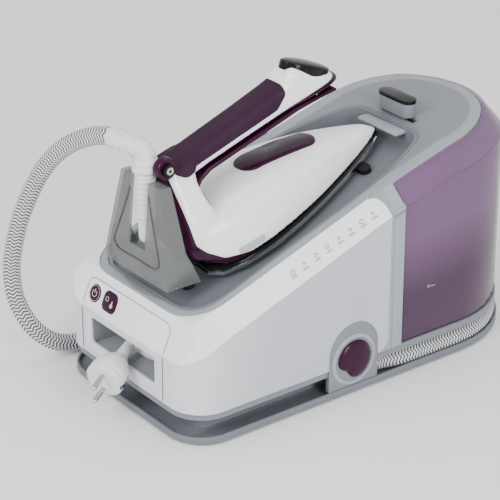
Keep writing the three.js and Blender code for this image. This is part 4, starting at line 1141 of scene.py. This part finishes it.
pivot = lathe("pivot_disc",
              [(1, -2.2), (6.2, -2.2), (6.6, -1.6), (6.6, 1.4), (5.9, 2.2), (4.6, 2.3), (4.4, 1.8), (1, 1.8)],
              BLACK, iron_place(23.6, PIVOT_Y, PIVOT_Z), (1, 0, 0), 36)
attach(pivot, "iron", "black_gloss", "boot_pivot")
screw = lathe("pivot_screw", [(0.5, 1.7), (1.2, 1.2), (1.6, 2.4), (3.4, 2.6), (3.9, 2.2), (4.0, 1.7)],
              CHROME, iron_place(23.6, PIVOT_Y, PIVOT_Z), (1, 0, 0), 28)
attach(screw, "iron", "bright_steel")

sleeve_path = spline(mm([
    (0, BOOT_Y, 250.4), (0, BOOT_Y, 253.5), (-2.5, -192.2, 257.8), (-8.5, -195, 260.6), (-18.2, -199, 261.8),
    (-29, -202.3, 262.9), (-35, -203.7, 263)]), 10)
sleeve = tube("sleeve_core", sleeve_path, 9.3 * MM, WHITE_FLEX, 24)
attach(sleeve, "iron", "white_flex", "hose_sleeve")
ribs = []
for i in range(4, len(sleeve_path) - 4, 5):
    way = (sleeve_path[i + 1] - sleeve_path[i - 1]).normalized()
    ribs.append(lathe("r", [(9, -1.1), (9.9, -0.8), (10.1, 0), (9.9, 0.8), (9, 1.1)], WHITE_FLEX,
                      tuple(sleeve_path[i] / MM), way, 28, 60))
attach(join("sleeve_ribs", ribs), "iron", "white_flex")


# The raised outline on the clear heel cover: a rounded triangle.
def cover_point(x, z, out=0.5):
    """A point on the cover's sloping rear face, z up the iron's own frame."""
    y = -300 + (z - 20) * 34 / 88
    return iron_point(x, y - out, z)


triangle = spline([cover_point(x, z) for x, z in (
    (-14.5, 97), (-17, 90), (-25, 70), (-34.5, 47), (-36, 41), (-32, 36), (0, 35), (32, 36),
    (36, 41), (34.5, 47), (25, 70), (17, 90), (14.5, 97))], 6)
attach(tube("cover_outline", triangle, 0.8 * MM, SMOKE_EDGE, 8), "iron", "clear_smoke")

# ---------------------------------------------------------------- floor and light

floor_mesh = D.meshes.new("floor")
floor_mesh.from_pydata([(-6, -6, 0), (6, -6, 0), (6, 6, 0), (-6, 6, 0)], [], [(0, 1, 2, 3)])
floor = D.objects.new("floor", floor_mesh)
floor.location.z = -0.0002
floor_mesh.materials.append(plastic("floor_paper", (0.86, 0.86, 0.87), 0.9, 60, 0.0, spread=0.005))
collection.objects.link(floor)


def area_light(name, location, target, size, power):
    data = D.lights.new(name, "AREA")
    data.shape = "RECTANGLE"
    data.size, data.size_y = size
    data.energy = power
    light = D.objects.new(name, data)
    light.location = location
    way = Vector(target) - Vector(location)
    light.rotation_mode = "QUATERNION"
    light.rotation_quaternion = way.to_track_quat("-Z", "Y")
    collection.objects.link(light)


area_light("key", (0.3, -2.1, 1.5), (0, 0, 0.1), (1.0, 1.0), 40)
area_light("side", (2.1, -0.2, 0.9), (0, 0, 0.12), (0.6, 1.2), 30)
area_light("top", (-0.3, 0.9, 2.2), (0, 0, 0.1), (1.6, 1.6), 8)

world = D.worlds.new("studio")
world.use_nodes = True
world.node_tree.nodes["Background"].inputs["Color"].default_value = (1, 1, 1, 1)
world.node_tree.nodes["Background"].inputs["Strength"].default_value = 1.1
bpy.context.scene.world = world
